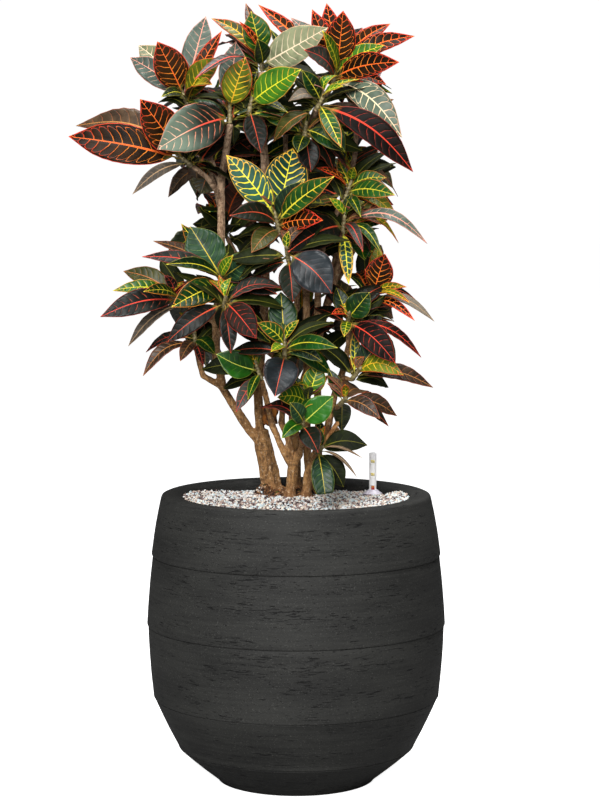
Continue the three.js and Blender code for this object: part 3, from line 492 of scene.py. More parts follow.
@dataclass(frozen=True)
class Planter:
    """The barrel planter: five bands that step over one another and a broad soft rim. Millimetres."""

    height: float = 386
    base_radius: float = 108
    rim_radius: float = 181
    mouth_radius: float = 149.5
    wall: float = 12.5
    floor: float = 14
    lip_depth: float = 34
    step: float = 1.4
    crown: float = 0.9
    bands: tuple[Pair, ...] = ((159.5, 47), (192, 115), (200, 212), (193.6, 305.5))
    turn_steps: int = 176
    rows_per_band: int = 9
    broad_waver: float = 0.9
    fine_waver: float = 0.35
    still_above: float = 384  # the surface is even above this height
    still_within: float = 50  # and this near the axis
    broad_scale: float = 9  # how fine the broad waver and the streaks are, in patches a metre
    streak_scale: Triple = (14, 14, 260)
    crease: float = 50  # the angle in degrees from which an edge looks sharp

    def band(self, low: Pair, high: Pair) -> list[Pair]:
        """Returns the outline of one band, bulging a little between its edges."""
        shares = [k / self.rows_per_band for k in range(self.rows_per_band + 1)]
        return [
            (between(low[0], high[0], s) + self.crown * math.sin(math.pi * s), between(low[1], high[1], s))
            for s in shares
        ]

    def outline(self) -> list[Pair]:
        """Returns the whole profile, from the middle of the underside up and down to the inside floor."""
        points = [(0.0, 0.0), (60.0, 0.0), (self.base_radius - 6, 0.0), (self.base_radius - 2, 1.0)]
        low = (self.base_radius, 4.0)
        for radius, height in self.bands:
            edge = (radius - self.step, height - 1.4)
            points += self.band(low, edge)
            points += [
                (radius - self.step - 0.5, height - 0.8), (radius - self.step - 0.6, height - 0.2),
                (radius - 0.5, height), (radius - 0.1, height + 0.6),
            ]
            low = (radius, height + 1.8)
        shoulder = (self.rim_radius, self.height - 7)
        points += self.band(low, shoulder)
        points += self.rim()
        inner = [(radius - self.wall, height) for radius, height in reversed(self.bands)]
        shelf = self.height - self.lip_depth
        points += [(self.mouth_radius, shelf), (self.rim_radius - self.wall + 6, shelf - 6), *inner]
        points += [(self.base_radius - self.wall, self.floor), (0.0, self.floor)]
        return points

    def rim(self) -> list[Pair]:
        """Returns the rounded rim from its outer edge to the mouth."""
        top = self.height
        return [
            (self.rim_radius - 0.7, top - 4.2),
            (self.rim_radius - 2.4, top - 1.8),
            (self.rim_radius - 5.4, top - 0.5),
            (self.rim_radius - 10.5, top),
            (self.mouth_radius + 12, top - 0.6),
            (self.mouth_radius + 5, top - 2.0),
            (self.mouth_radius + 1.6, top - 4.4),
            (self.mouth_radius + 0.2, top - 8.5),
            (self.mouth_radius, top - 16),
        ]

    def waver(self, form: Form) -> None:
        """Draws the surface in by up to a millimetre here and there, as on a hand-finished mould."""
        for corner in form.verts:
            spread = Vector((corner.co.x, corner.co.y, 0))
            if spread.length < self.still_within * MM or corner.co.z > self.still_above * MM:
                continue
            broad = noise.noise(corner.co * self.broad_scale) * 0.5 + 0.5
            streak = noise.noise(stretched(corner.co, self.streak_scale)) * 0.5 + 0.5
            corner.co -= spread.normalized() * (broad * self.broad_waver + streak * self.fine_waver) * MM

    def build(self) -> None:
        """Adds the planter."""
        form = turned(self.outline(), self.turn_steps)
        self.waver(form)
        mesh = to_mesh("planter", form)
        mesh.set_sharp_from_angle(angle=math.radians(self.crease))
        piece = add_piece("planter", mesh, [PlanterFinish().build()], "planter_plastic")
        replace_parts(piece, "pot")


# ---------------------------------------------------------------- soil and gravel

# Where the gauge stands and how wide its collar is, in millimetres.
GAUGE_X = 105
GAUGE_Y = 80
COLLAR_RADIUS = 13.4


@dataclass(frozen=True)
class GrainFinish:
    """Loose stones or crumbs, each with the colour of its own attribute."""

    name: str
    roughness: float
    grit: float

    def build(self) -> Paint:
        """Returns the material."""
        m = Material(self.name, self.roughness)
        grit = m.noise((900, 900, 900), 2, 0.6)
        shade = m.fade(grit, 0.35, 0.7, (120, 110, 104), (255, 255, 255))
        tint = m.node("Mix", data_type="RGBA", blend_type="MULTIPLY")
        for index, value in ((0, self.grit), (6, m.attribute("grain_colour", "Color")), (7, shade)):
            m.feed(tint.inputs[index], value)
        m.paint(Base_Color=tint.outputs[2])
        m.bump(grit, 0.5, 0.0006)
        return m.material


@dataclass(frozen=True)
class Grains:
    """A bed of small irregular stones that lie side by side."""

    name: str
    slot: str
    finish: GrainFinish
    palette: tuple[tuple[Rgb, float], ...]
    radii: Pair
    seed: int

    SQUASH = ((0.8, 1.3), (0.75, 1.1), (0.6, 0.95))  # the range of a stone's size along each axis
    UNEVEN = (0.82, 1.12)  # of each corner, and of a stone's brightness
    SMALL_BIAS = 1.6  # above 1, small stones are the more common ones
    CORNERS = 12

    def template(self, count: int) -> Form:
        """Returns a bmesh of at least count round stones, one block of corners after another."""
        form = bmesh.new()
        bmesh.ops.create_icosphere(form, subdivisions=1, radius=1.0)
        made = 1
        while made < count:
            bmesh.ops.duplicate(form, geom=[*form.verts, *form.edges, *form.faces])
            made *= 2
        return form

    def build(self, spots: Sequence[Triple]) -> Thing:
        """Adds the grains.

        Args:
            spots: the middle of each grain, in millimetres.

        Returns:
            The new piece.
        """
        draw = random.Random(self.seed)
        form = self.template(len(spots))
        paint = form.verts.layers.float_color.new("grain_colour")
        form.verts.ensure_lookup_table()
        for index, spot in enumerate(spots):
            radius = between(*self.radii, draw.random() ** self.SMALL_BIAS)
            angle = draw.uniform(0, math.tau)
            turn = Matrix.Rotation(angle, 3, Vector((draw.gauss(0, 1), draw.gauss(0, 1), 1)))
            squash = [draw.uniform(*span) for span in self.SQUASH]
            colour = linear(draw.choices(*zip(*self.palette))[0])
            glow = draw.uniform(*self.UNEVEN)
            tint = [min(1.0, c * glow) for c in colour[:3]] + [1.0]
            for corner in form.verts[index * self.CORNERS:(index + 1) * self.CORNERS]:
                rough = Vector([c * s * draw.uniform(*self.UNEVEN) for c, s in zip(corner.co, squash)])
                corner.co = (turn @ rough) * radius * MM + Vector(spot) * MM
                corner[paint] = tint
        form.verts.ensure_lookup_table()
        bmesh.ops.delete(form, geom=form.verts[len(spots) * self.CORNERS:], context="VERTS")
        mesh = to_mesh(self.name, form, smooth=False)
        return add_piece(self.name, mesh, [self.finish.build()], self.slot)


@dataclass(frozen=True)
class SoilFinish:
    """Crumbly brown potting soil with a touch of moss."""

    dark: Rgb = (38, 24, 15)
    light: Rgb = (112, 74, 44)
    moss: Rgb = (74, 84, 22)

    def build(self) -> Paint:
        """Returns the soil's material."""
        m = Material("soil", 0.95)
        coarse = m.noise((150, 150, 150), 4, 0.65)
        fine = m.noise((620, 620, 620), 3, 0.6)
        tone = m.plus(m.times(coarse, 0.6), m.times(fine, 0.4))
        colour = m.fade(tone, 0.38, 0.62, self.dark, self.light)
        green = m.times(m.ramp(m.noise((40, 40, 40), 2), 0.6, 0.68), 0.75)
        m.paint(Base_Color=m.mix(green, colour, self.moss))
        m.bump(tone, 0.9, 0.003)
        return m.material


@dataclass(frozen=True)
class GroundCover:
    """The soil mound round the stems and the gravel round it. Millimetres."""

    level: float = 372  # of the gravel, where nothing raises or lowers it
    heap: float = 9  # how much higher it lies against the mound
    heap_reach: float = 60
    bank: float = 10  # how much higher it lies against the planter's wall at the left and the right
    rolling: float = 1.6
    back_dip: float = 2.6  # how much lower it lies behind the plant
    back_from: Pair = (60, 130)  # how far back that dip begins and is full
    collar_dip: float = 1.2  # how much lower it lies at the gauge's collar
    collar_from: Pair = (18, 36)  # how far from the gauge it is that low, and rises no more
    mouth_radius: float = Planter.mouth_radius
    mound_radius: float = 52
    mound_x: float = -4
    mound_y: float = 34
    mound_edge: float = 375
    mound_rise: float = 9
    litter: float = 13  # how high the litter lies against the thick stem, round this place
    litter_x: float = -44
    litter_y: float = 18
    litter_radius: float = 19
    ragged: float = 7  # how far the gravel's inner edge wanders over the mound
    front_cover: float = 9  # how much further it covers the mound in front
    front_from: Pair = (20, 45)  # how far before the mound's middle that begins and is full
    wall_gap: float = 1.5
    side_press: float = 1.6  # how much nearer the wall it lies at the left and the right
    collar_gap: float = 0.6
    mound_grid: tuple[int, int] = (120, 44)  # faces round it and outwards
    crumb_count: int = 1700
    crumb_radii: Pair = (1.0, 2.8)
    crumb_lift: Pair = (1.0, 3.4)  # how high crumbs lie over the mound
    crumb_seeds: tuple[int, int] = (21, 22)  # for where the crumbs lie and for their forms
    pitch: float = 3.0  # the space between stones
    row_share: float = 0.866  # and between rows of them, as a share of it
    jitter: float = 1.2
    stone_radii: Pair = (1.4, 2.5)
    stone_lift: Pair = (-1.5, 0.9)  # how low and how high stones lie
    stone_seeds: tuple[int, int] = (11, 12)
    grit_grid: tuple[int, int] = (96, 24)
    grit_depth: float = 1.9  # how far the grit lies below the gravel's surface

    def mound_top(self, x: float, y: float) -> float:
        """Returns the height of the soil at a place on the mound."""
        share = min(1.0, math.hypot(x - self.mound_x, y - self.mound_y) / self.mound_radius)
        litter = eased(math.hypot(x - self.litter_x, y - self.litter_y), self.litter_radius, 3)
        return self.mound_edge + self.mound_rise * (1 - share ** 2.2) + self.litter * litter

    def gravel_top(self, x: float, y: float) -> float:
        """Returns the height of the gravel's surface.

        It rises towards the mound and the walls at the sides, runs up on the mound and dips round the collar.
        """
        from_mound = math.hypot(x - self.mound_x, y - self.mound_y) - self.mound_radius
        if from_mound < 0:
            return max(self.level + self.heap, self.mound_top(x, y) + 1.4)
        rolling = self.rolling * noise.noise(Vector((x, y, 0)) * 0.045)
        free = eased(math.hypot(x - GAUGE_X, y - GAUGE_Y), *self.collar_from)
        heaped = self.heap * max(0.0, 1 - from_mound / self.heap_reach)
        banked = self.bank * abs(x / self.mouth_radius) ** 3
        lower = self.back_dip * eased(y, *self.back_from)
        return self.level - self.collar_dip + (self.collar_dip + max(heaped, banked) + rolling - lower) * free

    def mound(self) -> None:
        """Adds the mound's crumbly surface."""
        def at(x: float, t: float) -> Vector:
            """Returns a place on the mound for a share round it and outwards."""
            radius = self.mound_radius * 1.05 * t
            spot = Vector((math.cos(math.pi * x) * radius, math.sin(math.pi * x) * radius, 0))
            spot += Vector((self.mound_x, self.mound_y, 0))
            lift = noise.noise(spot * 0.09) * 1.6 + noise.noise(spot * 0.35) * 1.2
            top = self.mound_top(spot.x, spot.y) + lift - 2.2 * eased(t, 0.9, 1.0)
            return Vector((spot.x, spot.y, top + 1.5)) * MM

        form = sheet(*self.mound_grid, at)
        mesh = to_mesh("soil_mound", form)
        add_piece("soil_mound", mesh, [SoilFinish().build()], "soil")

    def crumbs(self) -> None:
        """Adds loose crumbs of soil and bark on the mound."""
        draw = random.Random(self.crumb_seeds[0])
        spots = []
        for _ in range(self.crumb_count):
            angle, reach = draw.uniform(0, math.tau), self.mound_radius * math.sqrt(draw.random()) * 1.03
            x, y = self.mound_x + reach * math.cos(angle), self.mound_y + reach * math.sin(angle)
            spots.append((x, y, self.mound_top(x, y) + draw.uniform(*self.crumb_lift)))
        palette = (
            ((74, 46, 24), 4), ((126, 82, 42), 5), ((186, 126, 70), 4), ((40, 25, 15), 2.4),
            ((214, 176, 134), 1), ((96, 96, 30), 0.6),
        )
        finish = GrainFinish("soil_crumb", 0.95, 0.8)
        crumbs = Grains("soil_crumbs", "soil", finish, palette, self.crumb_radii, self.crumb_seeds[1])
        crumbs.build(spots)

    def covered(self, x: float, y: float) -> bool:
        """Returns whether a place has gravel: inside the wall, outside the mound's edge and the collar."""
        edge = self.mound_radius - self.ragged + self.ragged * noise.noise(Vector((x, y, 0)) * 0.05)
        edge -= self.front_cover * eased(self.mound_y - y, *self.front_from)
        limit = self.mouth_radius - self.wall_gap + self.side_press * abs(x / self.mouth_radius) ** 4
        from_mound = math.hypot(x - self.mound_x, y - self.mound_y)
        from_collar = math.hypot(x - GAUGE_X, y - GAUGE_Y) - COLLAR_RADIUS
        return math.hypot(x, y) <= limit and from_mound >= edge and from_collar >= self.collar_gap

    def gravel(self) -> None:
        """Adds the gravel's stones on the whole ring round the mound."""
        draw = random.Random(self.stone_seeds[0])
        spots = []
        rows = int(self.mouth_radius / (self.pitch * self.row_share)) + 1
        for row in range(-rows, rows + 1):
            y = row * self.pitch * self.row_share
            for column in range(-rows, rows + 1):
                x = (column + 0.5 * (row % 2)) * self.pitch
                px = x + draw.uniform(-self.jitter, self.jitter)
                py = y + draw.uniform(-self.jitter, self.jitter)
                if self.covered(px, py):
                    spots.append((px, py, self.gravel_top(px, py) + draw.uniform(*self.stone_lift)))
        palette = (
            ((252, 240, 224), 5), ((224, 240, 244), 4.2), ((222, 196, 180), 2.2), ((138, 118, 114), 2.8),
            ((74, 60, 62), 2.9), ((255, 255, 252), 4), ((184, 162, 154), 1.8),
        )
        finish = GrainFinish("pumice", 0.85, 0.4)
        stones = Grains("gravel_stones", "gravel", finish, palette, self.stone_radii, self.stone_seeds[1])
        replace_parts(stones.build(spots), "gravel")

    def bed(self, nodes: dict[str, Thing]) -> None:
        """Dresses the packed soil and lays the fine grit that shows between the stones; its dark brown is
        partly painted shade in the gaps.
        """
        dress(nodes["soil"], SoilFinish((30, 20, 13), (84, 56, 34)).build())

        def at(x: float, t: float) -> Vector:
            """Returns a place on the grit for a share round it and outwards."""
            radius = between(self.mound_radius - 22, self.mouth_radius - 0.3, t)
            centre_x, centre_y = between(self.mound_x, 0, t), between(self.mound_y, 0, t)
            px, py = centre_x + radius * math.cos(math.pi * x), centre_y + radius * math.sin(math.pi * x)
            return Vector((px, py, self.gravel_top(px, py) - self.grit_depth)) * MM

        # The grit's dark browns are partly painted shade in the gaps between the stones.
        grit = Mottle("gravel_grit", (70, 54, 50), (150, 126, 116), (330, 330, 330), 3, 0.6, roughness=0.95)
        mesh = to_mesh("gravel_grit", sheet(*self.grit_grid, at))
        add_piece("gravel_grit", mesh, [grit.build()], "gravel")

    def build(self, nodes: dict[str, Thing]) -> None:
        """Adds and dresses everything that lies in the planter's mouth."""
        self.bed(nodes)
        self.mound()
        self.crumbs()
        self.gravel()


# ---------------------------------------------------------------- gauge


@dataclass(frozen=True)
class Gauge:
    """The water-level gauge: a clear tube in a pale collar, two marks and a red float marker. Millimetres."""

    top: float = 431
    foot: float = 41.5
    radius: float = 5
    wall: float = 1.2
    collar_height: float = 9.2
    collar_base: float = 371.2
    marker_top: float = 385.6
    marker_radius: float = 3.1
    window: float = 2.1  # half the width of the clear strip through which the marker shows
    marks: Pair = (419.4, 401.4)
    mark_height: float = 3.9
    mark_thickness: float = 0.35
    tube_steps: int = 28
    collar_steps: int = 40
    float_steps: int = 20
    tube_crease: float = 40  # the angles in degrees from which an edge looks sharp
    collar_crease: float = 35
    clear: Rgb = (255, 254, 254)
    pale: Rgb = (232, 226, 238)
    dusty: Rgb = (204, 196, 212)
    # painted shade: the collar's foot is darkened where it meets the gravel
    painted_foot_shade: Rgb = (96, 82, 100)  # the collar's foot
    red: Rgb = (176, 10, 8)
    orange: Rgb = (240, 140, 36)

    def at_gauge(self, form: Form) -> Form:
        """Moves a form from the Z axis to the gauge and returns it."""
        bmesh.ops.translate(form, verts=form.verts, vec=Vector((GAUGE_X, GAUGE_Y, 0)) * MM)
        return form

    def pipe(self) -> None:
        """Adds the tube."""
        inner = self.radius - self.wall
        profile = [
            (inner, self.foot), (self.radius, self.foot), (self.radius, self.top - 1.2),
            (self.radius - 0.4, self.top - 0.4), (self.radius - 1.2, self.top), (0, self.top),
            (0, self.top - 3), (inner, self.top - 3), (inner, self.foot),
        ]
        m = Material("gauge_plastic", 0.6)
        across, _, height = m.coordinates()
        aside = m.math("ABSOLUTE", m.minus(across, GAUGE_X * MM))
        aside = m.ramp(aside, self.window * MM, (self.window + 0.4) * MM)
        above = m.ramp(height, self.marker_top * MM, (self.marker_top + 0.5) * MM)
        hidden = m.math("MAXIMUM", aside, above)
        m.paint(Base_Color=self.clear, Alpha=m.ramp(hidden, 0, 1, 0.0, 0.96))
        m.shader.inputs["Specular IOR Level"].default_value = 0.1
        mesh = to_mesh("gauge_pipe", self.at_gauge(turned(profile, self.tube_steps)))
        mesh.set_sharp_from_angle(angle=math.radians(self.tube_crease))
        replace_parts(add_piece("gauge_pipe", mesh, [m.material], "gauge_clear"), "gauge_tube")

    def scale_marks(self) -> None:
        """Adds the two yellow marks on the tube's front."""
        form = bmesh.new()
        for height in self.marks:
            out = self.radius + 0.15

            def at(x: float, t: float) -> Vector:
                """Returns a place on a mark for a share round and up it."""
                angle = -math.pi / 2 - 0.06 + x * 0.5
                rise = height + (t - 0.5) * self.mark_height
                return Vector((math.cos(angle) * out, math.sin(angle) * out, rise)) * MM

            shell = {"thickness": self.mark_thickness * MM, "offset": 0.0}
            absorb(form, modified(to_mesh("strip", sheet(8, 2, at)), ("SOLIDIFY", shell)))
        bmesh.ops.recalc_face_normals(form, faces=form.faces)
        ink = Mottle(
            "mark_paint", (238, 214, 110), (246, 234, 176), (700, 700, 700), 2, roughness=0.4, bump=(0, 0),
        ).build()
        add_piece("gauge_marks", to_mesh("gauge_marks", self.at_gauge(form)), [ink], "gauge_collar")

    def collar(self) -> None:
        """Adds the pale cone that the tube stands in."""
        low, high = self.collar_base, self.collar_base + self.collar_height
        inner = self.radius + 0.3
        profile = [
            (inner, low), (COLLAR_RADIUS - 0.4, low), (COLLAR_RADIUS, low + 0.4),
            (COLLAR_RADIUS, low + 3.4), (COLLAR_RADIUS - 0.5, low + 3.8),
            (inner + 5.2, low + 5.4), (inner + 2.4, high - 1.6), (inner + 1.0, high - 0.3),
            (inner + 0.5, high), (inner, high), (inner, low),
        ]
        m = Material("collar_plastic", 0.4)
        dust = m.noise((260, 260, 260), 3)
        colour = m.fade(dust, 0.4, 0.7, self.pale, self.dusty)
        height = m.coordinates()[2]
        # Painted shade: the collar darkens over its lowest few millimetres, towards the gravel.
        foot = m.ramp(height, (low + 3.2) * MM, (low + 4.0) * MM, 0.85, 0.0)
        m.paint(Base_Color=m.mix(foot, colour, self.painted_foot_shade))
        mesh = to_mesh("gauge_cone", self.at_gauge(turned(profile, self.collar_steps)))
        mesh.set_sharp_from_angle(angle=math.radians(self.collar_crease))
        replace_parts(add_piece("gauge_cone", mesh, [m.material], "gauge_collar"), "gauge_collar")

    def float_rod(self) -> None:
        """Adds the float with its rod and red marker."""
        bob, top, r = self.foot + 4, self.marker_top, self.marker_radius
        profile = [
            (0, bob), (r - 0.6, bob + 0.5), (r, bob + 2), (r, bob + 26), (1.1, bob + 29), (1.1, top - 12),
            (r - 0.4, top - 11.4), (r, top - 10.6), (r, top - 1.4), (r - 0.8, top - 0.4), (0, top),
        ]
        m = Material("marker_plastic", 0.35)
        height = m.coordinates()[2]
        tip = m.ramp(height, (top - 3) * MM, (top - 1.6) * MM)
        m.paint(Base_Color=m.mix(tip, self.red, self.orange))
        mesh = to_mesh("gauge_marker", self.at_gauge(turned(profile, self.float_steps)))
        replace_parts(add_piece("gauge_marker", mesh, [m.material], "gauge_red"), "gauge_float")

    def build(self) -> None:
        """Adds the whole gauge."""
        self.pipe()
        self.scale_marks()
        self.collar()
        self.float_rod()


# ---------------------------------------------------------------- woody stems


@dataclass(frozen=True)
class BarkFinish:
    """Light brown fissured bark that turns greyer up the plant, and paler there as painted light that makes
    up for the leaves' shade.
    """

    light: Rgb = (172, 127, 76)
    dark: Rgb = (100, 68, 36)
    # the higher bark's colours: greyer, and paler as painted light that makes up for the leaves' shade
    upper: Rgb = (190, 164, 140)
    upper_dark: Rgb = (112, 86, 66)
    crack: Rgb = (46, 32, 22)
    foot: Rgb = (96, 54, 26)
    flake: Rgb = (224, 194, 156)

    def build(self) -> Paint:
        """Returns the bark's material."""
        m = Material("bark", 0.85)
        fissures = m.noise((360, 360, 150), 4, 0.65)
        blotches = m.noise((55, 55, 30), 3, 0.6)
        rings = m.noise((40, 40, 420), 3, 0.6)
        height = m.coordinates()[2]
        tone = m.plus(m.times(fissures, 0.6), m.times(blotches, 0.4))
        colour = m.fade(tone, 0.38, 0.6, self.dark, self.light)
        # Higher up the bark turns greyer, and its paler colours there are painted light against the shade of
        # the leaves.
        greyer_and_painted_light = m.times(m.ramp(height, 0.5, 0.85), 0.75)
        colour = m.mix(greyer_and_painted_light, colour, m.fade(tone, 0.38, 0.62, self.upper_dark, self.upper))
        colour = m.mix(m.times(m.ramp(height, 0.405, 0.375), 0.6), colour, self.foot)
        flakes = m.noise((240, 240, 240), 3, 0.65)
        lines = m.math("MAXIMUM", m.ramp(rings, 0.6, 0.7), m.ramp(flakes, 0.6, 0.68))
        colour = m.mix(m.times(m.ramp(flakes, 0.44, 0.34), 0.45), colour, self.flake)
        m.paint(Base_Color=m.mix(m.times(lines, 0.6), colour, self.crack))
        rough = m.plus(fissures, m.times(rings, 0.5))
        m.bump(m.minus(rough, m.times(flakes, 0.5)), 0.9, 0.0024)
        return m.material


@dataclass(frozen=True)
class Stems:
    """The trunks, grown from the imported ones: forks melt together and the bark is uneven."""

    names: tuple[str, ...] = ("trunk_left", "trunk_front", "trunk_right", "trunk_pair", "trunk_back")
    voxel: float = 1.5
    smoothing: float = 0.5
    passes: int = 9  # of smoothing
    fullness: float = 0.55  # how far the surface is moved out again
    ridge: float = 0.45  # how high ridges, dents and leaf scars are
    dent: float = 0.7
    scar: float = 0.22
    ridge_scale: Triple = (210, 210, 34)  # how fine they are, in patches a metre
    dent_scale: float = 62
    scar_scale: Triple = (12, 12, 170)
    young: float = 0.45  # the share of ridges and dents that young wood has
    young_from: Pair = (0.42, 0.7)  # the heights in metres where wood begins to look young and where it is

    def swollen(self, mesh: Mesh) -> None:
        """Gives back the girth that smoothing takes and adds ridges, dents and leaf scars."""
        normals = [Vector(corner.normal) for corner in mesh.vertices]
        for corner, normal in zip(mesh.vertices, normals):
            co = corner.co
            ridge = self.ridge * noise.noise(stretched(co, self.ridge_scale))
            dent = self.dent * noise.noise(co * self.dent_scale)
            scar = self.scar * noise.noise(stretched(co, self.scar_scale))
            woody = between(1.0, self.young, eased(co.z, *self.young_from))
            grown = self.fullness + (ridge + dent) * woody + scar
            corner.co = co + normal * grown * MM

    def build(self, nodes: dict[str, Thing]) -> None:
        """Adds each trunk.

        Args:
            nodes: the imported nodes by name.
        """
        bark = BarkFinish().build()
        for name in self.names:
            form = bmesh.new()
            form.from_mesh(nodes[name].data)
            bmesh.ops.remove_doubles(form, verts=form.verts, dist=1e-5)
            rounded = modified(
                to_mesh(name + "_wood", form),
                ("REMESH", {"mode": "VOXEL", "voxel_size": self.voxel * MM, "use_smooth_shade": True}),
                ("SMOOTH", {"factor": self.smoothing, "iterations": self.passes}),
            )
            self.swollen(rounded)
            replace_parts(add_piece(name + "_wood", rounded, [bark], "bark"), name)


@dataclass(frozen=True)
class DryBits:
    """A withered lump between the stems and the pale stub of a cut branch. Places as on the layout plane."""

    husk_at: Triple = (-34.5, 489, 4)
    husk_size: Triple = (10.5, 6, 12.5)  # half its width, depth and height
    stub_from: Triple = (32, 447, -58)
    stub_to: Triple = (57, 482, -52)
    stub_radius: float = 2.9

    def finish(self, name: str, dark: Rgb, light: Rgb) -> Paint:
        """Returns a dry, cracked material between two colours."""
        return Mottle(name, dark, light, (160, 160, 90), 4, 0.65, (0.38, 0.6), 0.85, (0.9, 0.002)).build()

    def husk(self) -> None:
        """Adds the lump."""
        form = bmesh.new()
        bmesh.ops.create_cube(form, size=2.0)
        bmesh.ops.subdivide_edges(form, edges=form.edges[:], cuts=7, use_grid_fill=True)
        middle = place(self.husk_at)
        for corner in form.verts:
            lumpy = 0.86 + 0.3 * noise.noise(corner.co * 1.7) + 0.12 * noise.noise(corner.co * 5)
            corner.co = middle + Vector([c * s * lumpy for c, s in zip(corner.co, self.husk_size)]) * MM
        material = self.finish("husk", (58, 30, 10), (158, 94, 26))
        add_piece("dry_husk", to_mesh("dry_husk", form), [material], "bark")

    def stub(self) -> None:
        """Adds the stub."""
        start, end = place(self.stub_from), place(self.stub_to)

        def middle(t: float) -> Vector:
            """Returns the stub's middle at a share of its length."""
            return start.lerp(end, t)

        def radius(t: float) -> float:
            """Returns its radius, which closes at both ends."""
            return 0.0 if t in (0.0, 1.0) else self.stub_radius * MM * (0.75 + 0.3 * eased(t, 0.3, 0.8))

        material = self.finish("cut_wood", (150, 96, 50), (226, 166, 104))
        add_piece("cut_stub", to_mesh("cut_stub", tube(12, 16, middle, radius)), [material], "bark")

    def build(self) -> None:
        """Adds both."""
        self.husk()
        self.stub()


# ---------------------------------------------------------------- leaf finishes


class Kind(Enum):
    """How a leaf is coloured."""

    EMBER = "ember"
    SLATE = "slate"
    SAGE = "sage"
    PALE = "pale"
    JADE = "jade"
    LIME = "lime"
    FOREST = "forest"
    GOLD = "gold"
    OLIVE = "olive"
    UMBER = "umber"
    DRY = "dry"
    BLACK = "black"
    FERN = "fern"
    WINE = "wine"
    STEEL = "steel"
    GREEN = "green"
    MOSAIC = "mosaic"
    DUSK = "dusk"
    MOSS = "moss"
    SHADE = "shade"


@dataclass(frozen=True)
class LeafFinish:
    """The upper and lower face of one kind of leaf."""

    dark: Rgb
    light: Rgb
    vein: Rgb
    midrib: Rgb
    edge: Rgb
    veins: float  # how strongly the side veins show
    width: float  # of a side vein, in millimetres
    loops: float = 0.0  # how strongly the arcs that join the side veins near the edge show
    start: float = 0.0  # how far from the midrib the side veins begin and
    reach: float = 0.75  # how far towards the edge they run, as shares of the half width
    dashes: float = 0.0  # how often they break off
    tip: Rgb | None = None  # the ground's colour at the tip, where that differs
    tip_midrib: Rgb | None = None
    under: Rgb = (96, 76, 52)
    under_vein: Rgb = (150, 128, 84)
    gloss: float = 0.42
    shine: float = 0.2  # how strongly it mirrors, by the shader's specular level
    coat: float = 0.05
    relief: float = 0.3
    stalk: Rgb = (132, 128, 60)

    QUILT = 0.0014  # how high a leaf rises between its veins, in metres

    def drawn(self, m: Material, veins: Tree) -> Node:
        """Adds the vein group to a material, set for this kind, and returns it."""
        group = m.node("Group", node_tree=veins)
        settings = {"Width": self.width * MM, "Start": self.start, "Reach": self.reach, "Dashes": self.dashes}
        for label, value in settings.items():
            group.inputs[label].default_value = value
        return group

    def upper(self, name: str, veins: Tree) -> Paint:
        """Returns the material of the upper face.

        Args:
            name: the material's name.
            veins: the group that draws the veins.

        Returns:
            The material.
        """
        m = Material(name, self.gloss)
        drawn = self.drawn(m, veins)
        luck = m.parts(m.attribute("leaf_luck"))
        across, share, _ = m.parts(m.attribute("leaf_place"))
        cloud = m.noise((38, 38, 38), 3, 0.6)
        shade = m.plus(m.times(cloud, 0.8), m.times(luck[0], 0.28))
        colour = m.fade(shade, 0.36, 0.76, self.dark, self.light)
        outer = m.plus(m.ramp(share, 0.3, 1.0, 0.0, 0.6), m.times(cloud, 0.35))
        outer = m.plus(outer, m.times(m.math("ABSOLUTE", across), 0.4))
        line, rib = m.fade(outer, 0.3, 1.0, self.vein, self.edge), self.midrib
        # A kind's own tip colour blends in towards the tip; DUSK's paler grey-green tip is a painted sheen.
        if self.tip:
            towards = m.ramp(m.plus(share, m.times(cloud, 0.3)), 0.5, 0.95)
            colour = m.mix(towards, colour, self.tip)
            line, rib = (m.mix(towards, c, self.tip_midrib) for c in (line, rib))
        strength = m.times(m.ramp(luck[1], 0.0, 0.7, 0.7, 1.0), self.veins)
        lines = m.math("MAXIMUM", drawn.outputs["Veins"], m.times(drawn.outputs["Loops"], self.loops))
        colour = m.mix(m.times(lines, strength), colour, line)
        colour = m.mix(m.times(drawn.outputs["Margin"], 0.85), colour, self.edge)
        colour = m.mix(drawn.outputs["Midrib"], colour, rib)
        m.paint(Base_Color=m.mix(m.ramp(share, 0.1, 0.2, 0.85, 0.0), colour, self.stalk))
        m.bump(drawn.outputs["Height"], self.relief, self.QUILT)
        m.shader.inputs["Specular IOR Level"].default_value = self.shine
        m.shader.inputs["Coat Weight"].default_value = self.coat
        m.shader.inputs["Coat Roughness"].default_value = 0.3
        return m.material

    def lower(self, name: str, veins: Tree) -> Paint:
        """Returns the material of the lower face, duller and with raised veins.

        Args:
            name: the material's name.
            veins: the group that draws the veins.

        Returns:
            The material.
        """
        m = Material(name, 0.55)
        drawn = self.drawn(m, veins)
        cloud = m.noise((60, 60, 60), 3, 0.55)
        dull: Rgb = tuple(int(c * 0.6) for c in self.under)
        colour = m.fade(cloud, 0.35, 0.65, dull, self.under)
        colour = m.mix(m.times(drawn.outputs["Veins"], 0.45), colour, self.under_vein)
        colour = m.mix(m.times(drawn.outputs["Margin"], 0.5), colour, self.edge)
        m.paint(Base_Color=m.mix(drawn.outputs["Midrib"], colour, self.under_vein))
        m.bump(m.times(drawn.outputs["Height"], -1.0), 0.6, self.QUILT)
        return m.material


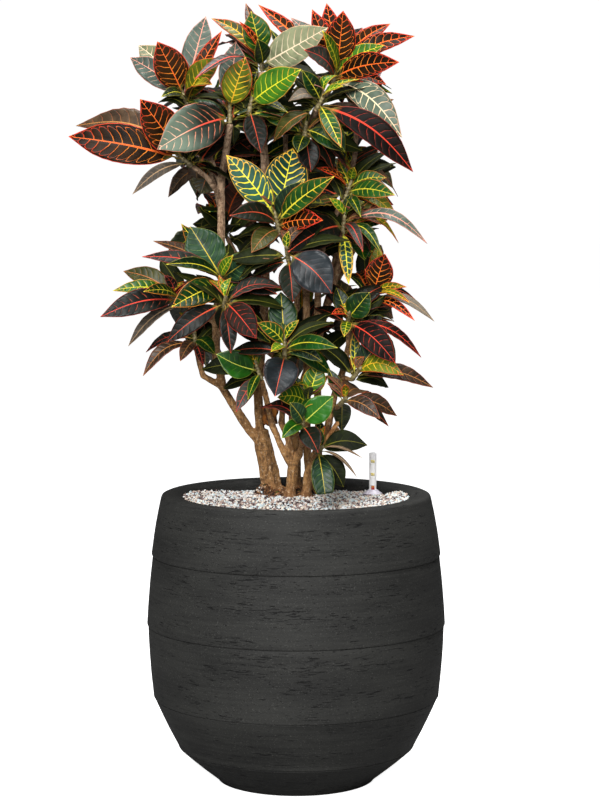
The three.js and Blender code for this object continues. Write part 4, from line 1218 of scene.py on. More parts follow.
LEAF_FINISHES: dict[Kind, LeafFinish] = {
    Kind.EMBER: LeafFinish(
        (20, 12, 6), (50, 31, 14), (240, 140, 46), (240, 108, 44), (218, 62, 36), 1.0, 1.15, 0.9, reach=0.66,
        under=(86, 52, 38), under_vein=(190, 84, 48), shine=0.07, coat=0.02,
    ),
    Kind.SLATE: LeafFinish(
        (14, 17, 13), (58, 62, 56), (214, 96, 64), (222, 70, 52), (150, 62, 50), 0.85, 1.0, 0.0, 0.2, 0.72,
        0.7,
        under=(66, 48, 42), under_vein=(160, 84, 66),
    ),
    # Its paler grey-green tip is a painted sheen.
    Kind.DUSK: LeafFinish(
        (11, 15, 12), (34, 41, 34), (226, 124, 88), (222, 76, 56), (196, 112, 84), 0.95, 1.3, 0.0, 0.14, 0.76,
        0.3, (98, 112, 96), (232, 184, 154),
        under=(70, 52, 44), under_vein=(160, 90, 70),
    ),
    Kind.SAGE: LeafFinish(
        (54, 66, 57), (92, 104, 93), (226, 176, 140), (224, 148, 128), (200, 132, 112), 0.75, 1.0, 0.0, 0.05,
        0.78, 0.5,
        under=(110, 108, 90), under_vein=(190, 160, 124), coat=0.12,
    ),
    Kind.PALE: LeafFinish(
        (96, 102, 76), (152, 156, 120), (236, 218, 186), (240, 218, 186), (206, 166, 130), 0.95, 1.4,
        reach=0.8,
        under=(122, 120, 92), under_vein=(200, 182, 140),
    ),
    Kind.JADE: LeafFinish(
        (14, 34, 19), (38, 68, 43), (110, 150, 76), (214, 188, 64), (112, 120, 52), 0.6, 0.8, 0.0, 0.05, 0.8,
        0.5,
        under=(70, 90, 56), under_vein=(150, 160, 96), coat=0.1, relief=0.45,
    ),
    Kind.LIME: LeafFinish(
        (28, 72, 10), (70, 122, 30), (218, 214, 46), (234, 226, 54), (216, 160, 46), 0.85, 1.15, reach=0.82,
        under=(100, 116, 52), under_vein=(196, 190, 96), gloss=0.34, shine=0.22, coat=0.1,
    ),
    Kind.FOREST: LeafFinish(
        (6, 26, 6), (22, 72, 18), (150, 160, 40), (206, 192, 52), (120, 112, 36), 0.5, 0.9, 0.0, 0.1, 0.6,
        0.8,
        under=(56, 72, 36), under_vein=(150, 140, 66),
    ),
    Kind.GOLD: LeafFinish(
        (16, 50, 38), (44, 86, 68), (222, 218, 48), (234, 224, 64), (224, 170, 56), 1.0, 2.0, 1.0, reach=0.68,
        under=(92, 98, 46), under_vein=(196, 184, 80),
    ),
    Kind.OLIVE: LeafFinish(
        (42, 50, 8), (106, 120, 20), (228, 192, 40), (228, 168, 44), (208, 76, 34), 0.95, 1.3, 0.2, reach=0.8,
        under=(84, 74, 38), under_vein=(184, 150, 66),
    ),
    Kind.UMBER: LeafFinish(
        (42, 31, 22), (92, 71, 50), (146, 100, 58), (176, 118, 62), (150, 72, 48), 0.55, 1.1, reach=0.8,
        under=(90, 72, 56), under_vein=(140, 108, 74),
    ),
    Kind.DRY: LeafFinish(
        (62, 56, 48), (108, 100, 87), (112, 92, 72), (168, 136, 100), (120, 96, 74), 0.5, 1.6, reach=0.9,
        under=(108, 96, 84), under_vein=(160, 138, 112), gloss=0.6,
    ),
    Kind.BLACK: LeafFinish(
        (8, 11, 6), (25, 31, 20), (116, 54, 32), (200, 76, 46), (104, 46, 30), 0.4, 0.9, 0.0, 0.15, 0.6, 0.8,
        under=(44, 38, 30), under_vein=(110, 78, 50), gloss=0.44, shine=0.14, coat=0.03, relief=0.2,
    ),
    Kind.FERN: LeafFinish(
        (10, 38, 12), (34, 84, 26), (216, 208, 48), (228, 210, 60), (208, 124, 44), 0.9, 1.2, 0.1, 0.0, 0.8,
        0.45,
        under=(72, 90, 40), under_vein=(180, 170, 70),
    ),
    Kind.WINE: LeafFinish(
        (13, 9, 7), (38, 26, 20), (196, 58, 40), (212, 66, 46), (150, 48, 38), 0.75, 0.9, 0.0, 0.15, 0.84,
        0.6,
        under=(70, 48, 40), under_vein=(150, 70, 50), gloss=0.5, shine=0.07, coat=0.0,
    ),
    Kind.STEEL: LeafFinish(
        (15, 18, 19), (42, 48, 52), (110, 70, 64), (214, 88, 62), (96, 66, 60), 0.25, 0.8, 0.0, 0.1, 0.5, 0.8,
        under=(60, 54, 54), under_vein=(150, 90, 72), gloss=0.4, shine=0.2, coat=0.06, relief=0.16,
    ),
    Kind.GREEN: LeafFinish(
        (12, 46, 5), (36, 98, 17), (120, 164, 50), (208, 212, 84), (130, 150, 50), 0.3, 0.9, 0.0, 0.1, 0.6,
        0.7,
        under=(80, 120, 50), under_vein=(170, 190, 90), gloss=0.38, shine=0.3, coat=0.14, relief=0.12,
    ),
    Kind.MOSAIC: LeafFinish(
        (58, 72, 58), (92, 106, 88), (234, 214, 172), (238, 214, 174), (196, 150, 118), 0.95, 1.4, 0.75,
        reach=0.68,
        under=(110, 112, 84), under_vein=(200, 182, 140),
    ),
    Kind.MOSS: LeafFinish(
        (44, 48, 16), (88, 88, 42), (134, 116, 52), (190, 112, 62), (150, 84, 46), 0.5, 1.0, 0.0, 0.1, 0.7,
        0.5,
        under=(84, 80, 46), under_vein=(150, 120, 66),
    ),
    Kind.SHADE: LeafFinish(
        (12, 17, 4), (34, 42, 12), (70, 80, 24), (112, 108, 36), (60, 54, 22), 0.3, 0.8, 0.0, 0.1, 0.6, 0.7,
        under=(40, 48, 24), under_vein=(90, 90, 46), gloss=0.6, shine=0.1, coat=0.0, relief=0.15,
    ),
}


class LeafPaint:
    """Builds the vein group and the materials of the leaf kinds, each once."""

    def __init__(self) -> None:
        """Draws the vein group."""
        self.veins = self.vein_group()
        self.made: dict[Kind, tuple[Paint, Paint]] = {}

    def vein_group(self) -> Tree:
        """Returns the group that draws a leaf's veins.

        It reads two attributes of the leaves. leaf_place holds the share across from -1 to 1, the share along
        and the leaf's key, leaf_size the half width there, the length and the space between veins in metres.
        """
        outputs = ("Veins", "Midrib", "Margin", "Loops", "Height")
        defaults = {"Width": 0.0012, "Start": 0.0, "Reach": 0.75, "Dashes": 0.0}
        g, given, out = new_group("leaf_veins", defaults, outputs)
        across, share, _ = g.parts(g.attribute("leaf_place"))
        half, length, spacing = g.parts(g.attribute("leaf_size"))
        a = g.math("ABSOLUTE", across)
        off = g.times(a, half)
        wobble = g.minus(g.noise((60, 60, 60), 2), 0.5)
        # The side veins slant towards the tip and are out of step on the two halves.
        slant = g.times(off, g.plus(0.35, g.times(a, 0.5)))
        phase = g.math("DIVIDE", g.minus(g.times(share, length), slant), spacing)
        side = g.times(g.math("GREATER_THAN", across, 0.0), 0.37)
        phase = g.plus(g.plus(phase, side), g.times(wobble, 0.6))
        wave = g.times(g.math("ABSOLUTE", g.minus(g.math("FRACT", phase), 0.5)), 2.0)
        # Each thins out towards the edge, and Reach, Start and Dashes say where it shows.
        patch = g.noise((150, 150, 150), 1)
        thick = g.times(given.outputs["Width"], g.minus(0.72, g.times(a, 0.34)))
        thick = g.times(thick, g.ramp(patch, 0.3, 0.7, 0.8, 1.2))
        away = g.times(g.minus(1.0, wave), g.times(spacing, 0.5))
        lines = g.ramp(away, g.times(thick, 0.45), thick, 1.0, 0.0)
        far = g.plus(a, g.times(g.minus(patch, 0.5), 0.5))
        shown = g.ramp(g.minus(far, given.outputs["Reach"]), -0.08, 0.06, 1.0, 0.0)
        begun = g.ramp(g.minus(far, given.outputs["Start"]), -0.04, 0.04)
        whole = g.minus(1.0, g.times(g.ramp(patch, 0.53, 0.46), given.outputs["Dashes"]))
        shown = g.times(g.times(shown, begun), whole)
        g.feed(out.inputs["Veins"], g.times(lines, shown))
        # Arcs near the edge join their ends.
        arc = g.minus(0.86, g.times(g.math("POWER", wave, 2.5), 0.3))
        arc = g.plus(arc, g.times(wobble, 0.12))
        aside = g.times(g.math("ABSOLUTE", g.minus(a, arc)), half)
        g.feed(out.inputs["Loops"], g.ramp(aside, g.times(thick, 0.5), g.times(thick, 1.1), 1.0, 0.0))
        rib = g.times(length, g.ramp(share, 0.1, 1.0, 0.012, 0.0035))
        g.feed(out.inputs["Midrib"], g.ramp(off, g.times(rib, 0.6), rib, 1.0, 0.0))
        g.feed(out.inputs["Margin"], g.ramp(g.minus(half, off), 0.0003, 0.0009, 1.0, 0.0))
        # The leaf swells between its veins, away from the midrib.
        quilt = g.times(g.minus(1.0, g.math("POWER", wave, 3.0)), g.ramp(a, 0.0, 0.3))
        g.feed(out.inputs["Height"], quilt)
        return g.tree

    def both(self, kind: Kind) -> tuple[Paint, Paint]:
        """Returns the materials of a kind's upper and lower face."""
        if kind not in self.made:
            finish = LEAF_FINISHES[kind]
            upper = finish.upper("leaf_" + kind.value, self.veins)
            self.made[kind] = (upper, finish.lower("leaf_" + kind.value + "_under", self.veins))
        return self.made[kind]


# ---------------------------------------------------------------- the plant's tables


@dataclass(frozen=True)
class Leaf:
    """A leaf that gives a shoot its look. dx, dz and depth lead from the shoot to its tip, in millimetres."""

    dx: float
    dz: float
    depth: float
    width: float
    face: float  # how far its upper side turns to the front, from 1 to -1
    bend: float  # how far its middle rises above the line from root to tip
    kind: Kind
    blunt: float = 0.0  # 1 for a leaf that ends wide, where the gravel hides its tip


K = Kind  # short, for the tables


@dataclass(frozen=True)
class ShootPlan:
    """One leafy shoot: where its stem's middle is, how it leans, its length and its leaves. Millimetres."""

    name: str
    at: Triple
    lean: Triple
    length: float
    extra: int
    main: Kind
    leaves: tuple[Leaf, ...] = ()


def plan(
    name: str, at: Triple, lean: Triple, length: float, extra: int, main: Kind, *rows: tuple,
) -> ShootPlan:
    """Returns a shoot's plan.

    Args:
        name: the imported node's name.
        at: the middle of its stem on the layout plane.
        lean: the stem's direction as x, height and depth.
        length: the stem's length in millimetres.
        extra: how many leaves are added by rule.
        main: the kind of most of its leaves.
        rows: each listed leaf's values, in Leaf's order.

    Returns:
        The plan.
    """
    return ShootPlan(name, at, lean, length, extra, main, tuple(Leaf(*row) for row in rows))


SHOOTS: tuple[ShootPlan, ...] = (
    plan(
        "crown_left", (-147, 911, 10), (-0.4, 0.9, 0), 32, 0, K.SAGE,
        (-60, 67, 24, 38, 0.8, 4, K.PALE), (-71, 51, 8, 34, 0.8, 2, K.SAGE),
        (-35, 72, -20, 44, 0.85, 0, K.EMBER), (29, 105, 22, 37, 0.8, 0, K.SAGE),
        (50, 86, -6, 21, 0.6, 0, K.EMBER), (49, 51, -26, 34, 0.7, 6, K.OLIVE),
        (37, 16, -44, 24, 0.6, 6, K.OLIVE), (-30, 0, -40, 18, 0.6, 6, K.FOREST),
    ),
    plan(
        "far_left", (-147, 828, -20), (-0.75, 0.6, -0.1), 27, 1, K.EMBER,
        (-153, 31, -8, 52, 0.85, 2, K.EMBER), (-143, 45, 26, 44, 0.6, 17, K.UMBER),
        (-58, 80, -32, 50, 0.8, 0, K.EMBER), (-69, -45, -20, 16, 0.75, 8, K.DRY),
    ),
    plan(
        "crown_middle_left", (-87, 891, -26), (0, 1, -0.1), 31, 1, K.SLATE,
        (-96, -49, -46, 60, 0.85, 4, K.DUSK), (8, 92, 16, 37, 0.8, 0, K.SAGE),
        (21, 72, -16, 39, 0.8, 0, K.OLIVE), (-34, -44, 10, 30, 0.5, 4, K.BLACK),
    ),
    plan(
        "crown_middle_right", (-60, 899, -30), (0.2, 0.95, -0.1), 25, 1, K.LIME,
        (67, 48, -34, 41, 0.8, 0, K.LIME), (50, -9, -34, 14, 0.4, 4, K.FOREST),
        (14, -62, -26, 30, 0.6, 0, K.BLACK), (-14, -50, 24, 28, 0.5, 0, K.BLACK),
    ),
    plan(
        "crown_middle", (-45, 959, 0), (0, 1, 0), 31, 1, K.GOLD,
        (-14, 63, -10, 37, 0.8, 0, K.FERN), (-29, 50, -26, 14, 0.5, 0, K.EMBER),
        (-5, 27, -30, 24, 0.7, 0, K.FOREST), (-21, 74, 24, 16, 0.7, 0, K.UMBER),
        (-66, 54, 8, 21, 0.6, 6, K.OLIVE), (87, 42, -36, 47, 0.85, -2, K.PALE),
        (-76, -39, -40, 18, 0.3, 10, K.SLATE),
    ),
    plan(
        "crown_right", (53, 943, -8), (0.3, 0.95, 0), 34, 0, K.EMBER,
        (-32, 82, -6, 26, 0.8, 0, K.EMBER), (-13, 90, 14, 26, 0.8, 0, K.EMBER),
        (9, 80, -20, 40, 0.85, 0, K.EMBER), (34, 58, 36, 30, 0.7, 0, K.BLACK),
        (71, 63, 20, 22, 0.7, 6, K.EMBER), (103, 47, 2, 27, 0.7, 8, K.EMBER),
        (83, 13, -38, 34, 0.8, 4, K.EMBER), (66, -16, -20, 26, 0.6, 6, K.EMBER),
        (-18, 54, -44, 22, 0.6, 0, K.LIME), (63, 35, -28, 25, 0.7, 4, K.LIME),
        (-42, 29, -38, 29, 0.7, 6, K.SLATE), (-60, 71, 10, 26, 0.7, 4, K.SAGE),
        (87, -86, -38, 38, 0.85, 12, K.MOSAIC), (-103, 88, 30, 22, 0.7, 0, K.EMBER),
    ),
    plan(
        "right_upper", (32, 904, -52), (0.4, 0.7, -0.5), 25, 0, K.SAGE,
        (-24, 42, -16, 22, 0.7, 0, K.FOREST), (30, 21, -22, 16, 0.5, 2, K.LIME),
        (123, -92, -10, 37, 0.8, 12, K.WINE), (28, -60, -36, 21, 0.7, 0, K.FERN),
        (33, -66, -6, 24, 0.6, 0, K.FOREST), (-42, 1, -22, 18, 0.5, 8, K.DRY),
        (96, -62, 30, 22, -0.5, 14, K.UMBER), (52, 30, 10, 14, 0.3, 4, K.LIME),
    ),
    plan(
        "centre", (-25, 747, -50), (-0.15, 0.9, -0.3), 31, 1, K.GOLD,
        (-67, 88, -6, 41, 0.85, 2, K.GOLD), (21, 97, 18, 56, 0.85, 0, K.GOLD),
        (34, 54, -22, 32, 0.8, 0, K.JADE), (76, 60, -34, 30, 0.7, 2, K.FERN),
        (61, 2, -30, 30, 0.7, 2, K.EMBER), (-63, 8, -34, 29, 0.7, 8, K.BLACK),
        (-34, -41, -30, 29, 0.6, 4, K.MOSS),
    ),
    plan(
        "upper_left", (-116, 822, 42), (-0.3, 0.85, 0.3), 24, 1, K.UMBER,
        (-10, -39, -30, 39, -0.7, 0, K.MOSS), (30, -9, -20, 18, 0.5, 6, K.BLACK),
        (-53, -43, -14, 22, -0.6, 6, K.UMBER), (-2, -62, 10, 22, 0.6, 0, K.BLACK),
    ),
    plan(
        "left_middle", (-98, 671, -48), (-0.1, 0.75, -0.5), 31, 0, K.FOREST,
        (-42, 70, -2, 52, 0.85, 0, K.JADE), (-54, 74, 30, 22, 0.7, 0, K.FERN),
        (-91, 51, 10, 21, 0.5, 6, K.UMBER), (-106, 30, -14, 22, 0.6, 8, K.SLATE),
        (-74, 20, -34, 19, 0.6, 6, K.FOREST), (-67, -37, -44, 36, 0.8, 2, K.FERN),
        (15, 32, -30, 16, 0.7, 0, K.LIME), (48, 33, -16, 34, 0.8, 0, K.JADE),
        (28, -5, -40, 20, 0.5, 4, K.BLACK), (74, -20, -30, 27, 0.7, 6, K.BLACK),
    ),
    plan(
        "left_outer", (-156, 644, 0), (-0.8, 0.5, -0.2), 24, 1, K.SLATE,
        (-73, 38, 10, 29, 0.7, 6, K.MOSS), (-87, 12, -14, 21, 0.6, 6, K.LIME),
        (-46, 11, -36, 20, 0.6, 4, K.FERN), (-104, -23, -20, 33, 0.8, 8, K.SLATE),
        (-67, -62, -10, 17, 0.5, 6, K.DRY),
    ),
    plan(
        "left_low", (-134, 591, 28), (-0.1, 1, -0.1), 21, 1, K.UMBER,
        (-70, -49, -20, 19, 0.5, 12, K.UMBER), (-66, -17, 10, 16, 0.5, 8, K.SLATE),
        (-20, -29, -30, 18, 0.6, 4, K.UMBER), (27, -20, -30, 20, 0.6, 4, K.FOREST),
        (11, -35, -10, 12, 0.5, 2, K.SLATE),
    ),
    plan(
        "left_inner", (-94, 640, -84), (0.1, 0.5, -0.8), 21, 1, K.SLATE,
        (42, -48, -24, 36, 0.85, 2, K.WINE), (40, -8, 10, 25, 0.7, 4, K.BLACK),
        (8, -68, -14, 22, 0.7, 0, K.BLACK), (-78, -53, -12, 28, 0.8, 4, K.BLACK),
    ),
    plan(
        "low_left", (-49, 547, -40), (-0.3, 0.9, -0.2), 22, 1, K.FOREST,
        (-57, 25, -14, 36, 0.8, -4, K.GREEN), (-77, 4, 6, 29, 0.7, 6, K.SHADE),
        (-31, -53, -26, 20, 0.7, 6, K.SLATE), (-15, -36, -34, 13, 0.5, 2, K.FOREST),
    ),
    plan(
        "centre_low", (-15, 581, -70), (0, 0.95, -0.2), 28, 1, K.SLATE,
        (-5, 74, 10, 37, 0.85, 0, K.JADE), (-37, 33, -16, 21, 0.7, 4, K.FERN),
        (-18, -6, -34, 14, 0.6, 2, K.LIME), (71, -1, -34, 22, 0.7, 6, K.FOREST),
        (66, 33, 0, 14, 0.6, 6, K.SHADE), (51, -20, -14, 20, 0.6, 6, K.JADE),
        (-13, -66, -22, 45, 0.85, 0, K.STEEL),
    ),
    plan(
        "right_middle", (63, 743, -14), (0.1, 0.95, -0.2), 27, 0, K.SLATE,
        (111, -25, -20, 17, 0.6, 20, K.SAGE), (73, -24, 14, 12, 0.5, 18, K.OLIVE),
        (51, -40, -34, 15, 0.6, 14, K.FOREST), (26, -36, -44, 15, 0.7, 8, K.SLATE),
        (36, -37, 6, 13, 0.6, 12, K.BLACK), (50, 0, -10, 13, 0.5, 8, K.UMBER),
        (-74, -36, -52, 45, 0.85, 6, K.BLACK), (7, -79, -20, 18, 0.6, 0, K.GOLD),
    ),
    plan(
        "right_high", (69, 789, 12), (0.3, 0.9, 0), 29, 0, K.LIME,
        (66, -9, 24, 19, 0.5, 24, K.UMBER), (51, 16, -10, 21, 0.6, 4, K.FERN),
        (62, -7, -34, 27, 0.75, 4, K.FERN), (66, -40, -14, 20, 0.6, 10, K.OLIVE),
        (17, -36, -44, 14, 0.6, 4, K.FOREST), (-13, 42, 0, 18, 0.7, 0, K.FERN),
        (-42, 29, -20, 14, 0.5, 4, K.EMBER), (60, -20, 14, 24, 0.6, 4, K.SLATE),
    ),
    plan(
        "right_outer", (101, 649, -12), (0.4, 0.85, 0), 27, 1, K.EMBER,
        (17, 56, -10, 37, 0.85, 0, K.EMBER), (8, 69, 26, 20, 0.7, 0, K.OLIVE),
        (46, 12, -22, 12, 0.6, 4, K.OLIVE), (57, -4, 10, 12, 0.5, 8, K.BLACK),
        (50, -9, -44, 12, 0.5, 6, K.OLIVE), (83, -34, -20, 13, 0.6, 12, K.DRY),
        (57, -33, -34, 13, 0.6, 8, K.EMBER),
    ),
    plan(
        "right_inner", (69, 617, -70), (0.1, 0.6, -0.7), 24, 1, K.FOREST,
        (29, 37, -14, 33, 0.8, 0, K.FOREST), (-16, 44, 4, 21, 0.7, 0, K.FOREST),
        (98, -50, 4, 17, 0.5, 10, K.WINE), (64, -58, -24, 34, 0.85, 6, K.WINE),
        (-5, -22, -30, 14, 0.5, 0, K.LIME), (-22, 8, -20, 12, 0.5, 4, K.EMBER),
    ),
    plan(
        "right_low", (79, 544, -62), (0.4, 0.6, -0.6), 22, 1, K.UMBER,
        (37, 52, 0, 34, 0.8, 0, K.JADE), (-1, 62, 10, 13, 0.6, 0, K.GOLD),
        (65, -1, -20, 27, 0.7, 14, K.OLIVE), (104, -17, 4, 25, 0.6, 10, K.UMBER),
    ),
    plan(
        "right_lower", (62, 508, -84), (0.3, 0.4, -0.8), 21, 1, K.UMBER,
        (73, -19, 10, 25, 0.6, 8, K.UMBER), (51, -23, -24, 22, 0.7, 6, K.UMBER),
        (62, -33, -4, 16, 0.5, 6, K.BLACK), (-19, 45, 4, 17, 0.7, 0, K.FOREST),
    ),
    plan(
        "low_centre", (9, 479, -80), (0, 0.7, -0.6), 21, 1, K.LIME,
        (41, 37, -10, 34, 0.85, 0, K.GREEN), (-28, -20, -26, 19, 0.7, 4, K.GREEN),
        (-17, 28, -16, 24, 0.7, 0, K.JADE), (21, -39, -22, 28, 0.8, 2, K.BLACK),
    ),
    plan(
        "low_upright", (16, 509, -50), (0.1, 0.95, -0.1), 20, 1, K.GOLD,
        (15, 51, 0, 30, 0.85, 0, K.LIME), (-41, 5, -24, 29, 0.75, 6, K.LIME),
        (-23, 36, 4, 14, 0.6, 0, K.FOREST), (3, 20, -24, 13, 0.5, 0, K.FOREST),
    ),
    plan(
        "lowest_right", (31, 443, -62), (0.3, 0.4, -0.8), 20, 0, K.FOREST,
        (65, 7, -10, 29, 0.75, 8, K.SHADE), (8, -59, -20, 29, 0.85, 2, K.JADE, 1.0),
        (33, -50, -4, 29, 0.8, 4, K.SHADE), (51, -36, -20, 5, 0.5, 6, K.DRY),
        (58, -10, -30, 4, 0.5, 4, K.DRY),
    ),
    plan(
        "inner_right", (12, 866, -30), (0.1, 0.8, -0.3), 17, 0, K.FOREST,
        (52, -27, -30, 24, 0.7, 2, K.FOREST), (8, -54, -8, 30, 0.6, 0, K.BLACK),
        (38, -52, 12, 28, 0.5, 4, K.BLACK), (-22, -42, 0, 22, 0.5, 0, K.FOREST),
    ),
    plan(
        "heart", (-11, 703, -84), (-0.1, 0.6, -0.7), 22, 0, K.SLATE,
        (59, -51, -26, 52, 0.9, 6, K.STEEL), (7, -63, -10, 32, 0.85, 2, K.BLACK),
    ),
    plan("back_crown_left", (-104, 880, 70), (-0.2, 0.9, 0.3), 31, 5, K.SAGE),
    plan("back_crown_middle", (-14, 900, 74), (0, 1, 0.2), 32, 5, K.LIME),
    plan("back_crown_right", (84, 884, 66), (0.3, 0.9, 0.2), 31, 5, K.EMBER),
    plan("back_high_left", (-62, 822, 98), (-0.2, 0.8, 0.5), 28, 5, K.SLATE),
    plan("back_high_right", (66, 812, 98), (0.2, 0.8, 0.5), 28, 5, K.GOLD),
    plan("back_left", (-100, 735, 84), (-0.6, 0.6, 0.4), 28, 5, K.EMBER),
    plan("back_middle", (4, 745, 124), (0, 0.7, 0.7), 28, 5, K.FOREST),
    plan("back_right", (88, 724, 84), (0.6, 0.6, 0.4), 28, 5, K.SAGE),
    plan("back_low_left", (-92, 618, 92), (-0.5, 0.6, 0.5), 27, 5, K.GOLD),
    plan("back_low_right", (84, 604, 78), (0.6, 0.5, 0.5), 27, 5, K.UMBER),
    plan("back_lowest", (6, 600, 116), (0, 0.5, 0.8), 25, 5, K.SLATE),
)

# How far the foliage reaches at each height, to the left and to the right, in millimetres.
FOLIAGE_REACH = (
    (430, 30, 60), (480, 60, 100), (540, 110, 130), (600, 150, 135), (650, 200, 120), (700, 190, 118),
    (750, 130, 120), (800, 130, 130), (850, 190, 135), (900, 190, 130), (950, 185, 120), (1000, 110, 110),
    (1040, 60, 70),
)


def within_reach(tip: Triple) -> Triple:
    """Returns a tip moved in to where the foliage ends. What it loses sideways it gains in depth."""
    x, z, depth = tip
    for low, high in zip(FOLIAGE_REACH, FOLIAGE_REACH[1:]):
        if z < high[0]:
            break
    share = min(1.0, max(0.0, (z - low[0]) / (high[0] - low[0])))
    kept = min(max(x, -between(low[1], high[1], share)), between(low[2], high[2], share))
    return (kept, z, depth + abs(x - kept))


# ---------------------------------------------------------------- leaves


@dataclass
class Blade:
    """One leaf's form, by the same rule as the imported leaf. Its width and bend are in millimetres."""

    root: Vector
    tip: Vector
    width: float
    face: float
    bend: float
    key: int
    kind: Kind
    small: bool = False
    blunt: float = 0.0

    TIP_ROOM = 0.3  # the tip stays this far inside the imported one
    STALK = 0.12
    FOLD = 0.2
    ARCH = 0.09
    WAVE = 0.1
    RIPPLE = 0.05  # both as shares of the half width
    BLUNT_END = 0.72  # where the outline stops on a leaf that ends wide
    STATIONS = (0.0, 0.16, 0.42, 0.74, 1.0)

    def __post_init__(self) -> None:
        """Works out the leaf's directions."""
        self.length = (self.tip - self.root).length - self.TIP_ROOM * MM
        self.along = (self.tip - self.root).normalized()
        self.upper = self.square(Vector((0.02, -self.face, 1 - abs(self.face))))
        self.rise = self.square(Vector((0.01, 0, 1)))
        self.side = self.along.cross(self.upper)

    def square(self, direction: Vector) -> Vector:
        """Returns a direction turned square to the leaf's length."""
        return (direction - self.along * direction.dot(self.along)).normalized()

    def middle(self, t: float) -> Vector:
        """Returns the midrib's place at a share of the length."""
        spot = self.root + self.along * self.length * t
        spot += self.upper * self.ARCH * self.length * math.sin(math.pi * t ** 0.8)
        return spot + self.rise * self.bend * MM * math.sin(math.pi * t)

    def half(self, t: float) -> float:
        """Returns half the width at a share of the length, full in the middle and pointed at the tip."""
        x = max(0.0, (t - self.STALK) / (1 - self.STALK)) * between(1.0, self.BLUNT_END, self.blunt)
        outline = math.sin(math.pi * min(1.0, x) ** 0.9)
        fullness = 0.7 + 0.3 * eased(t, 0.7, 1.0)
        return self.width * MM / 2 * max(0.0, outline) ** fullness

    def wave(self, t: float, sign: int) -> float:
        """Returns how far an edge waves at a share of the length, as a share of the half width."""
        for low, high in zip(self.STATIONS, self.STATIONS[1:]):
            if t <= high:
                ends = (chance(self.key, 10 * round(100 * share) + sign) for share in (low, high))
                return self.WAVE * (2 * between(*ends, eased(t, low, high)) - 1)
        return 0.0

    def surface(self, across: float, t: float) -> Vector:
        """Returns a place on the upper face for a share across and along."""
        half = self.half(t)
        sign = 1 if across > 0 else -1
        ripple = self.RIPPLE * math.sin(self.length / MM * t * 0.42 + self.key * 1.7 + sign)
        lift = self.FOLD * abs(across) ** 1.2 + (self.wave(t, sign) + ripple) * across * across
        return self.middle(t) + self.side * across * half + self.upper * lift * half


class LeafMaker:
    """Makes finished leaves: a thin wavy blade on a stalk that runs on as the midrib."""

    THICKNESS = 0.7
    GRID = {False: (8, 20), True: (4, 9)}  # faces across and along a leaf, and a small one
    RIB_GRID = {False: (6, 12), True: (4, 5)}
    VEIN_SPACE = 4.5  # the space between side veins is this and a share of the leaf's length
    VEIN_SHARE = 0.052
    BLADE_START = 0.1  # where the blade begins and the midrib ends, as shares of the length
    RIB_END = 0.97
    RIB_THICKNESS = (0.6, 1.05)
    FULL_WIDTH = 50  # of a leaf with the thickest midrib
    ATTRIBUTES = ("leaf_place", "leaf_size", "leaf_luck")

    def __init__(self, kinds: Sequence[Kind]) -> None:
        """Keeps the order of the kinds, which gives the material slots.

        Args:
            kinds: the kinds of the piece's leaves.
        """
        self.kinds = list(kinds)
        self.blades = bmesh.new()
        self.ribs = bmesh.new()
        for form in (self.blades, self.ribs):
            for name in self.ATTRIBUTES:
                form.verts.layers.float_vector.new(name)

    def tell(self, form: Form, blade: Blade, spots: Sequence[Pair]) -> Mesh:
        """Writes where each corner lies on its leaf.

        Args:
            form: the leaf's bmesh.
            blade: the leaf.
            spots: the share across and along of each corner.

        Returns:
            The leaf as a mesh.
        """
        where, size, luck = (form.verts.layers.float_vector.new(name) for name in self.ATTRIBUTES)
        spacing = self.VEIN_SPACE * MM + self.VEIN_SHARE * blade.length
        draws = Vector((chance(blade.key, 7), chance(blade.key, 8), chance(blade.key, 9)))
        for corner, (across, t) in zip(form.verts, spots):
            corner[where] = Vector((across, t, blade.key))
            corner[size] = Vector((blade.half(t), blade.length, spacing))
            corner[luck] = draws
        for face in form.faces:
            face.smooth = True
            face.material_index = 2 * self.kinds.index(blade.kind)
        mesh = bpy.data.meshes.new("leaf")
        form.to_mesh(mesh)
        form.free()
        return mesh

    def grid(self, faces: tuple[int, int]) -> Form:
        """Returns a flat grid from -1 to 1 with the given faces across and along it."""
        form = bmesh.new()
        bmesh.ops.create_grid(form, x_segments=faces[0], y_segments=faces[1], size=1.0)
        return form

    def add(self, blade: Blade) -> None:
        """Adds one leaf to the piece."""
        form = self.grid(self.GRID[blade.small])
        spots = [(c.co.x, between(self.BLADE_START, 1.0, (c.co.y + 1) / 2)) for c in form.verts]
        for corner, (across, t) in zip(form.verts, spots):
            corner.co = blade.surface(across, t)
        absorb(self.blades, self.tell(form, blade, spots))

        thick = between(*self.RIB_THICKNESS, min(1.0, blade.width / self.FULL_WIDTH)) * MM
        thick *= 0.6 if blade.small else 1.0
        form = self.grid(self.RIB_GRID[blade.small])
        spots = []
        for corner in form.verts:
            t = (corner.co.y + 1) / 2
            angle = math.pi * corner.co.x
            radius = thick * between(1.25, 0.3, t) * (0.0 if t in (0.0, 1.0) else 1.0)
            heart = blade.middle(self.RIB_END * t) - blade.upper * radius * 0.45
            corner.co = heart + (blade.side * math.sin(angle) + blade.upper * math.cos(angle)) * radius
            spots.append((0.0, self.RIB_END * t))
        absorb(self.ribs, self.tell(form, blade, spots))

    def finish(self, name: str) -> Mesh:
        """Thickens the blades, joins the ribs to them and returns the mesh."""
        for form in (self.blades, self.ribs):
            bmesh.ops.remove_doubles(form, verts=form.verts, dist=2e-6)
        flat = bpy.data.meshes.new("blades")
        self.blades.to_mesh(flat)
        self.blades.free()
        for _ in self.kinds:
            flat.materials.append(None)
            flat.materials.append(None)
        shell = {"thickness": self.THICKNESS * MM, "offset": -1.0, "material_offset": 1}
        absorb(self.ribs, modified(flat, ("SOLIDIFY", shell)))
        mesh = bpy.data.meshes.new(name)
        self.ribs.to_mesh(mesh)
        self.ribs.free()
        return mesh


